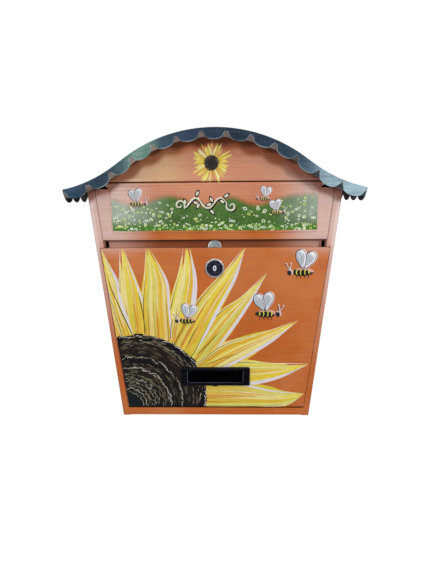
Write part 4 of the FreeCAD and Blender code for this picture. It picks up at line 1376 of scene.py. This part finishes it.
DAB_LAYER = 72                 # the dabs lie above every stroke of the head
SEED_BANDS = [
    # radius, dabs round a full turn, size, colours
    (20, 60, 1.7, (REED, SAND, CHALK)), (24, 72, 1.9, (REED, SAND, CHALK)),
    (28, 80, 1.8, (REED, CHALK, SAND)), (32, 90, 1.9, (SAND, REED, CHALK)),
    (36, 96, 1.9, (REED, UMBER, CHALK)), (41, 90, 2.0, (UMBER, SAND, REED)),
    (48, 104, 2.5, (CHALK, REED, CHALK)), (54, 80, 2.0, (UMBER, SOOT, SAND)),
    (61, 112, 2.6, (CHALK, SAND, REED)), (67, 80, 2.0, (UMBER, SOOT, RUST)),
    (73, 100, 2.3, (UMBER, SAND, RUST)), (79, 90, 2.2, (RUST, SAND, REED)),
    (85, 140, 2.8, (CHALK, SAND, CHALK)),
]


def paint_seeds():
    rng = random.Random(11)
    points = []
    lift = DOOR_Y - DAB_LAYER * LAYER
    for radius, per_turn, size, hues in SEED_BANDS:
        for k in range(per_turn):
            angle = 2 * math.pi * (k + rng.uniform(-0.3, 0.3)) / per_turn
            if math.radians(138) < angle < math.radians(345):
                continue
            x, z = spot_on_ring(radius + rng.uniform(-1.3, 1.3), angle)
            if not inside_door(x, z, 2.6):
                continue
            hue = mixed(rng.choice(hues), rng.choice(hues), rng.random())
            hue = mixed(hue, UMBER, 0.24 * rng.random())
            scale = size * rng.uniform(0.7, 1.15) * MM
            turn = math.pi / 2 - angle + rng.uniform(-0.3, 0.3)
            place = (x * MM, lift - rng.uniform(0, 0.06) * MM, z * MM)
            wide = (scale, scale * rng.uniform(0.55, 0.85), 0.35 * MM)
            points.append((place, (math.pi / 2, turn, 0.0), wide, (*hue, 1)))
    return scatter("door_seed_dabs", DABS, points, 0.17, seed_paint, "door")


paint_seed_disc()
paint_seeds()

# %% [markdown]
# ## Bees
# A bee is a striped body, a dark head with two feelers, a few legs, and two grey wings outlined
# in dark blue with a white edge on the side of the light. One function draws it at any size and
# facing either way. The three small ones on the flap have faded a little.

# %% A bee
WING = rgb(184, 192, 200)
WING_LINE = rgb(44, 50, 72)
BEE_BLACK = rgb(20, 17, 12)
BEE_YELLOW = rgb(216, 204, 62)
WING_SHAPE = [(0.0, 0.02), (0.30, 0.15), (0.62, 0.25), (0.90, 0.19), (1.0, 0.02), (0.90, -0.17),
              (0.62, -0.22), (0.30, -0.12)]


def around(points, grow):
    """An outline scaled about its own middle."""
    cx = sum(p[0] for p in points) / len(points)
    cz = sum(p[1] for p in points) / len(points)
    return [(cx + (px - cx) * grow, cz + (pz - cz) * grow) for px, pz in points]


def shifted(points, dx, dz):
    return [(px + dx, pz + dz) for px, pz in points]


def bee(picture, x, z, size, facing, fade=0.0):
    """facing is 1 when the head points right. fade mixes the colours towards the panel."""
    start = picture.layer

    def at(u, v):
        return (x + facing * u * size, z + v * size)

    def worn(*colours):
        return tuple(mixed(colour, ENAMEL_SHEEN, fade) for colour in colours)

    def line(points, width, hues, steps, taper):
        picture.stroke(points, width * size, hues, steps, taper)

    def fill(points, hue, halo=None, grow=1.0, dx=0.02, dz=0.015):
        """A filled shape, over a slightly larger pale one on the side of the light."""
        if halo:
            picture.blob(shifted(around(points, grow), dx * size, dz * size), halo)
        picture.blob(points, *worn(*hue))

    black, snow, outline = worn(BEE_BLACK) * 3, worn(SNOW) * 3, worn(WING_LINE) * 3
    for angle in (math.radians(119), math.radians(80)):
        c, s = math.cos(angle), math.sin(angle)

        def on_wing(points, wide=1.0):
            return [at(-0.02 + 1.04 * (u * c - wide * v * s), 0.10 + 1.04 * (u * s + wide * v * c))
                    for u, v in points]

        shape = on_wing(WING_SHAPE, 1.05)
        fill(shape, (WING, mixed(WING, SNOW, 0.35)), snow[0], 1.06, 0.04, 0.005)
        line(shape + shape[:2], 0.055, outline, 30, (0.9, 0.9))
        for spread in (-0.16, 0.0, 0.16):
            vein = on_wing([(0.25, spread * 0.3), (0.55, spread * 0.8), (0.85, spread)])
            line(vein, 0.028, worn(WING_LINE, WING_LINE, WING), 6, (0.2, 0.0))
    body = [at(-0.60, -0.02), at(-0.40, 0.14), at(0.0, 0.19), at(0.36, 0.15), at(0.48, 0.0),
            at(0.34, -0.16), at(0.0, -0.20), at(-0.38, -0.15)]
    fill(body, (BEE_BLACK,), *worn(mixed(SNOW, ENAMEL, 0.7)))
    for u, tall in ((-0.33, 0.20), (-0.13, 0.29), (0.08, 0.31), (0.28, 0.25)):
        stripe = [at(u - 0.03, tall / 2), at(u + 0.02, 0), at(u - 0.02, -tall / 2)]
        line(stripe, 0.105, worn(BEE_YELLOW, LEMON, OLIVE), 5, (0.5, 0.5))
    eighths = [k * math.pi / 4 for k in range(8)]
    head = [at(0.62 + 0.145 * math.cos(a), -0.01 + 0.15 * math.sin(a)) for a in eighths]
    fill(head, (rgb(36, 30, 42),), *worn(mixed(SNOW, ENAMEL, 0.45)), 1.06)
    for u, v in ((0.60, 0.42), (0.84, 0.40)):
        feeler = [at(0.63, 0.12), at((0.64 + u) / 2 + 0.02, 0.27), at(u, v)]
        line(shifted(feeler, 0.03 * size, 0), 0.045, snow, 6, (0.4, 0.4))
        line(feeler, 0.038, black, 6, (0.4, 0.4))
        tip_x, tip_z = feeler[-1]
        knob = [(tip_x + 0.05 * size * math.cos(a), tip_z + 0.04 * size * math.sin(a))
                for a in (0, 1.26, 2.51, 3.77, 5.03)]
        fill(knob, (rgb(120, 36, 30),), snow[0], 1.0, 0.03, 0.02)
    for u in (-0.30, -0.10, 0.10, 0.28):
        line([at(u, -0.16), at(u - 0.03, -0.25), at(u + 0.03, -0.33)], 0.04, black, 5, (0.6, 0.2))
    picture.layer = start


def paint_door_bees():
    picture = Picture("door_bees", DOOR_Y, on_door)
    picture.layer = 76
    bee(picture, 109, 45, 25, -1)
    bee(picture, 65, -8.5, 25, 1)
    bee(picture, -36, -17.5, 20, -1)
    return picture.finish(petal_paint, "door")


paint_door_bees()

# %% [markdown]
# ## The meadow on the flap
# The raised field of the flap is painted as rolling ground: a vivid strip along the foot, deep
# green above it, and hills that melt into the enamel at the skyline, paled towards both ends by a
# painted sheen.
# Short upright dabs break the flat coats. Little rings and dots of yellow and white stand for
# flowers, thick at the foot and thinner up the slope.

# %% Ground and grass
FIELD_HALF = 125.2
FIELD_FOOT = 95.8
FIELD_TOP = 148.5
GREENS = [rgb(58, 96, 32), rgb(72, 112, 42), rgb(38, 72, 36), rgb(104, 136, 56)]
MEADOW_SHEEN = rgb(196, 206, 196)
MEADOW_STRIP = rgb(70, 126, 30)


def hill(x):
    """Height of the painted skyline over the flap, in millimetres."""
    bumps = [(-128, 22, 11), (-55, 30, 14.5), (20, 20, 12.5), (96, 34, 14), (128, 20, 8)]
    level = 124.0
    return level + sum(tall * math.exp(-((x - at) / wide) ** 2) for at, wide, tall in bumps)


def ground_colour(x, z, jitter=0.0):
    up = (z - FIELD_FOOT) / (hill(x) - FIELD_FOOT)
    tone = mixed(GREENS[0], GREENS[1], min(1, up * 1.3))
    # Painted sheen: the hills pale towards both ends, as the flap's enamel does.
    far = clamp((abs(x - 10) - 62) / 60) * clamp((up - 0.08) * 2.6)
    tone = mixed(tone, MEADOW_SHEEN, 0.70 * far)
    if z < 104.0:
        tone = mixed(tone, MEADOW_STRIP, 0.9)
    tone = mixed(tone, GREENS[2], 0.35 * max(0, noise.noise(Vector((x * 0.06, z * 0.12, 2.0)))))
    tone = mixed(tone, rgb(150, 176, 84), jitter)
    fade = clamp((z - hill(x) + 4.5) / 9.0)
    return mixed(tone, bare_flap(x, z), fade * fade * (3 - 2 * fade))


def bare_flap(x, z):
    """About the enamel's colour there, its painted sheen included, so that the skyline can melt
    into it.
    """
    ends = clamp((abs(x) - 72) / 56)
    haze = 0.20 * clamp((z - 112) / 34)
    return mixed(mixed(rgb(197, 104, 40), ENAMEL_SHEEN, haze), ENAMEL_SHEEN, 0.80 * ends)


def in_field(x, z):
    corner = 5.0
    x = min(max(x, -FIELD_HALF), FIELD_HALF)
    z = max(z, FIELD_FOOT)
    away = Vector((max(0.0, abs(x) - (FIELD_HALF - corner)), max(0.0, FIELD_FOOT + corner - z)))
    if away.x > 0 and away.y > 0 and away.length > corner:
        away = away.normalized() * corner
        x = math.copysign(FIELD_HALF - corner + away.x, x)
        z = FIELD_FOOT + corner - away.y
    return x, z


def paint_meadow():
    picture = Picture("flap_meadow", FLAP_FIELD_Y, in_field)
    columns, rows = 160, 20
    picture.layer = 2
    for r in range(rows + 1):
        for c in range(columns + 1):
            x = -FIELD_HALF + 2 * FIELD_HALF * c / columns
            top = min(hill(x) + 4.5 + 0.7 * noise.noise(Vector((x * 0.3, 1.0, 0))), FIELD_TOP)
            z = FIELD_FOOT + (top - FIELD_FOOT) * r / rows
            border = r in (0, rows) or c in (0, columns)
            height = RIM if border else picture.layer * LAYER + 0.01 * MM
            picture.add(x, z, height, ground_colour(x, z), (x * 0.8, z, 0.4))
    picture.grid(0, rows, columns)
    rng = random.Random(3)
    for i in range(620):
        x = rng.uniform(-FIELD_HALF + 1, FIELD_HALF - 1)
        z = FIELD_FOOT + rng.random() ** 0.8 * (hill(x) - FIELD_FOOT - 7.0)
        tall = rng.uniform(1.6, 4.2)
        ground = ground_colour(x, z, rng.random() * 0.25)
        tone = mixed(ground, rng.choice(GREENS), 0.35 * rng.random())
        picture.layer = 3 + 5 * rng.random()
        blade = [(x, z), (x + rng.uniform(-0.8, 0.8), z + tall / 2),
                 (x + rng.uniform(-1.6, 1.6), z + tall)]
        picture.stroke(blade, rng.uniform(0.6, 1.5),
                       (tone, mixed(tone, rgb(170, 190, 110), 0.15), tone), 4, (0.3, 0.0))
    return picture.finish(petal_paint, "flap")


paint_meadow()

# %% [markdown]
# ## Flowers in the grass
# Hundreds of tiny rings and dots of yellow and white are dabbed into the grass, close together in
# the strip at the foot. A loop picks the places, and a tree lays a ring or a dot on each, which
# keeps every flower a real raised bead at little cost.

# %% Flowers in the grass
FLOWER_HUES = [rgb(234, 236, 124), rgb(212, 228, 106), rgb(244, 246, 232), rgb(236, 242, 200),
               rgb(242, 244, 218)]
FLOWER_LAYER = 11              # above the grass
FLOWER_COUNT = 410
STRIP_SHARE = 3                # every third flower stands in the vivid strip at the foot


def paint_flowers():
    rng = random.Random(17)
    rings, dots = [], []
    for i in range(FLOWER_COUNT):
        x = rng.uniform(-FIELD_HALF + 3, FIELD_HALF - 3)
        z = FIELD_FOOT + 3.2 + rng.random() ** 1.15 * (hill(x) - FIELD_FOOT - 5)
        if i % STRIP_SHARE == 0:
            z = FIELD_FOOT + rng.uniform(2.2, 9.0)
        if (abs(x + 9) < 42 and z > 116) or (i % 5 == 3 and 112 < z and x < 100):
            continue
        hue = rng.choice(FLOWER_HUES)
        size = rng.uniform(0.95, 1.75) * (0.8 if z < 108 else 1.0) * MM
        turn = (math.pi / 2, rng.uniform(-0.6, 0.6), 0.0)
        wide = (size, size * rng.uniform(0.55, 0.95), 0.35 * MM)
        place = (x * MM, FLAP_FIELD_Y - FLOWER_LAYER * LAYER, z * MM)
        if rng.random() < 0.55:
            rings.append((place, turn, wide, (*hue, 1)))
        else:
            dots.append((place, turn, (size * 0.6, size * 0.5, 0.18 * MM),
                         (*mixed(hue, SNOW, 0.3), 1)))
    scatter("flap_flower_rings", RINGS, rings, 0.30, petal_paint, "flap")
    scatter("flap_flower_dots", DOTS, dots, 0.0, petal_paint, "flap")


paint_flowers()

# %% [markdown]
# ## The scroll in the middle of the flap
# A curling vine with leaves is painted in the middle of the meadow: a black shadow first, then a
# broad white line, then a narrow core of yellow-green. It is an ornament and spells nothing.

# %% Vine and the flap's bees
VINE_START = -36               # left end of the stem, in millimetres
VINE_HEIGHT = 130
VINE_SWING = 6.0               # how far the stem waves up and down
VINE_LAYER = 14


def vine_lines():
    """The vine as smooth lines with their widths: one long wave and a coil at each end."""
    xs = [VINE_START + 0.9 * i for i in range(0, 60, 3)]
    stem = [(x, VINE_HEIGHT + VINE_SWING * math.sin(x * 0.21)) for x in xs]
    lines = [(stem, 2.2)]
    for end, way in ((stem[0], -1), (stem[-1], 1)):
        centre = (end[0] + way * 5.5, end[1] + (3.5 if way < 0 else -3.5))
        first = math.atan2(end[1] - centre[1], end[0] - centre[0])
        reach = math.hypot(end[0] - centre[0], end[1] - centre[1])
        coil = []
        for k in range(12):
            angle = first + 0.62 * k
            shrink = reach * (1 - k / 14)
            coil.append((centre[0] + shrink * math.cos(angle),
                         centre[1] + shrink * math.sin(angle)))
        lines.append((coil, 2.0))
    return lines


def leaf(picture, x, z, angle, size):
    c, s = math.cos(angle), math.sin(angle)

    def at(u, v):
        return (x + size * (u * c - v * s), z + size * (u * s + v * c))

    for grow, hue in ((1.25, BEE_BLACK), (1.1, SNOW), (0.7, rgb(206, 214, 70))):
        middle = 0.5
        points = [(0.0, 0.0), (0.35, 0.24), (0.75, 0.18), (1.0, 0.0), (0.75, -0.18), (0.35, -0.24)]
        picture.blob([at(middle + (u - middle) * grow, v * grow) for u, v in points], hue)


def paint_vine():
    picture = Picture("flap_vine", FLAP_FIELD_Y)
    picture.layer = VINE_LAYER
    lines = vine_lines()
    for line, wide in lines:
        shadow = [(x + 1.0, z - 1.0) for x, z in line]
        picture.stroke(shadow, wide + 1.2, (BEE_BLACK,) * 3, 60, (0.5, 0.3), 0.2, 1.0)
    for line, wide in lines:
        picture.stroke(line, wide + 0.9, (LILAC, SNOW, SNOW), 60, (0.5, 0.3), 0.2, 2.0)
    for line, wide in lines:
        picture.stroke(line, wide * 0.6, (OLIVE, rgb(206, 212, 60), LEMON), 60, (0.3, 0.0), 0.3,
                       3.0)
    stem = lines[0][0]
    for k in range(1, len(stem) - 1, 2):
        (x0, z0), (x, z), (x1, z1) = stem[k - 1], stem[k], stem[k + 1]
        side = 1 if k % 4 == 1 else -1
        lean = math.atan2(z1 - z0, x1 - x0) + side * 1.15
        leaf(picture, x + 1.4 * math.cos(lean), z + 1.4 * math.sin(lean), lean, 8.6)
    bee(picture, -93, 130.0, 16, 1, 0.12)
    bee(picture, 60, 135.0, 13, -1, 0.1)
    bee(picture, 75, 118.5, 14, 1, 0.05)
    return picture.finish(petal_paint, "flap")


paint_vine()

# %% [markdown]
# ## The small sunflower on the gable
# Two rings of quick strokes round a black disc, each stroke pulled outwards and let go.

# %% Gable flower


def paint_gable_flower():
    picture = Picture("gable_sunflower", GABLE_Y)
    rng = random.Random(29)
    cx, cz = -3.0, 176.5
    for ring, (inner, outer, count) in enumerate(((8, 27, 30), (8, 24, 26))):
        for k in range(count):
            angle = 2 * math.pi * (k + 0.5 * ring + rng.uniform(-0.2, 0.2)) / count
            reach = outer * rng.uniform(0.72, 1.0)
            sway = rng.uniform(-0.10, 0.10)
            spine = [(cx + r * math.cos(angle + sway * t), cz + r * math.sin(angle + sway * t))
                     for t, r in ((0, inner), (0.5, (inner + reach) / 2), (1, reach))]
            hue = rng.choice((YELLOW, LEMON, OCHRE, CREAM, YELLOW, AMBER, YELLOW))
            colours = ((mixed(hue, AMBER, 0.4), hue, OLIVE), (hue, mixed(hue, CREAM, 0.5), hue))
            picture.stroke(spine, rng.uniform(2.2, 3.4), colours, 8, (0.6, 0.0), 0.3,
                           rng.random() * 50)
    disc = [(cx + 9.2 * math.cos(0.2 * math.pi * k), cz + 9.2 * math.sin(0.2 * math.pi * k))
            for k in range(10)]
    picture.blob(disc, SOOT, UMBER)
    picture.finish(petal_paint, "housing")
    dabs = []
    for k in range(110):
        angle, radius = rng.uniform(0, 2 * math.pi), 9.9 * rng.random() ** 0.4
        place = ((cx + radius * math.cos(angle)) * MM, GABLE_Y - DAB_LAYER * LAYER,
                 (cz + radius * math.sin(angle)) * MM)
        hue = rng.choice((UMBER, SOOT, RUST, UMBER, SAND) if radius > 5 else (SOOT, UMBER))
        dabs.append((place, (math.pi / 2, rng.uniform(0, 6.3), 0),
                     (0.9 * MM, 0.6 * MM, 0.25 * MM), (*hue, 1)))
    scatter("gable_seed_dabs", DABS, dabs, 0.22, seed_paint, "housing")


paint_gable_flower()

# %% [markdown]
# ## Small hardware
# The lock's keyhole has a pressed lip shaped like a lens, coloured near white as a painted glint, a
# shallow ring is turned into the core, a dark ring lies round it, and the cam's round end has a rim
# coloured as a painted highlight. The name-plate's holder has a narrow rib near each end of its
# window and one along its foot, coloured paler than the holder as painted highlights. Six blind
# rivets hold the roof to its brackets, and their heads are painted over.

# %% Beads
BACKWARD = Vector((0, 1, 0))


def bead(name, path, radius, material, body, slot, closed=True):
    """A thin round bar along a path of points in millimetres."""
    sides = 8
    count = len(path)
    verts, faces = [], []
    for i in range(count):
        here = Vector(path[i])
        ahead, behind = Vector(path[(i + 1) % count]), Vector(path[i - 1])
        if not closed:
            ahead = Vector(path[min(i + 1, count - 1)])
            behind = Vector(path[max(i - 1, 0)])
        side = (ahead - behind).normalized().cross(BACKWARD)
        for k in range(sides):
            angle = 2 * math.pi * k / sides
            spot = here + (side * math.cos(angle) + BACKWARD * math.sin(angle)) * radius
            verts.append(spot * MM)
    for i in range(count if closed else count - 1):
        for k in range(sides):
            a, b = i * sides, (i + 1) % count * sides
            n = (k + 1) % sides
            faces.append((a + k, a + n, b + n, b + k))
    if not closed:
        faces += [tuple(range(sides)), tuple((count - 1) * sides + k for k in range(sides))]
    obj = mesh_piece(name, verts, faces)
    outward(obj)
    print(name, len(faces), "faces")
    return finished(obj, material, body, slot, 50)


cam_low, cam_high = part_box("lock_cam")
cam_reach = (cam_high[0] - cam_low[0]) / 2 / MM - 0.8
cam_centre = cam_high[2] / MM - cam_reach - 0.8
CAM_ARC = [math.pi * (k - 1) / 16 for k in range(19)]
plug_low, plug_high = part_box("lock_plug")
LOCK_Z = (plug_low[2] + plug_high[2]) / 2 / MM
PLUG_FACE = plug_low[1] / MM
HOUSING_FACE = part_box("lock_housing")[0][1] / MM


def ellipse(half_x, half_z, y, power=1.0):
    """An oval round the lock's axis; a power above 1 pinches it to a lens."""
    points = []
    for k in range(48):
        a = 2 * math.pi * k / 48
        c = math.copysign(abs(math.cos(a)) ** power, math.cos(a))
        points.append((half_x * c, y, LOCK_Z + half_z * math.sin(a)))
    return points


# Painted highlight: this near-white metal stands for the glints on the keyhole's lip and the cam's
# rim.
painted_glint_metal = make_metal("painted_glint_metal", rgb(246, 246, 250), rgb(222, 222, 230), (900, 200, 900),
                        0.3, 0.2)
bead("lock_keyhole_glint", ellipse(1.45, 2.9, PLUG_FACE, 1.2), 0.85, painted_glint_metal,
     "lock_core", "lock_core_black")
bead("lock_core_ring", ellipse(7.4, 7.4, PLUG_FACE + 0.12), 0.3, core_black,
     "lock_core", "lock_core_black")
cam_rim = [(cam_reach * math.cos(a), cam_low[1] / MM, cam_centre + cam_reach * math.sin(a))
           for a in CAM_ARC]
bead("cam_highlight_edge", cam_rim, 0.75, painted_glint_metal, "lock_core", "zinc_plate", False)
# a black bead round the core, laid on the housing's face
bead("lock_dark_ring", ellipse(9.5, 9.5, HOUSING_FACE + 0.42), 0.72, core_black,
     "door", "lock_chrome")

# %% Ribs of the name-plate holder
# Painted highlight: the ribs are a pale blue-grey, much lighter than the black holder, for the
# light along them.
rib_highlight_plastic = make_plastic("rib_highlight_plastic", rgb(84, 84, 112), rgb(150, 150, 176), 0.34)
frame_low, frame_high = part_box("name_plate_window")
RIB_Y = frame_low[1] / MM
RIB_LOW, RIB_HIGH = frame_low[2] / MM + 1.2, frame_high[2] / MM - 1.2
RIB_REACH = frame_high[0] / MM - 2.6
FOOT_RIB_REACH = 35.0


def rib(label, start, end, radius):
    """A straight rib between two points (x, z) on the window's face."""
    path = [(start[0] + (end[0] - start[0]) * i / 6, RIB_Y, start[1] + (end[1] - start[1]) * i / 6)
            for i in range(7)]
    bead("name_plate_rib_" + label, path, radius, rib_highlight_plastic, "door", "black_plastic", False)


rib("left", (-RIB_REACH, RIB_LOW), (-RIB_REACH, RIB_HIGH), 0.35)
rib("right", (RIB_REACH, RIB_LOW), (RIB_REACH, RIB_HIGH), 0.35)
rib("low", (-FOOT_RIB_REACH, RIB_LOW), (FOOT_RIB_REACH, RIB_LOW), 0.3)

# %% Rivet heads
tinted(bevelled("roof_rivets", patina, "housing", "roof_patina", 0.1), roof_tone)

# %% [markdown]
# ## Finish

# %% Finish
print("pieces done")
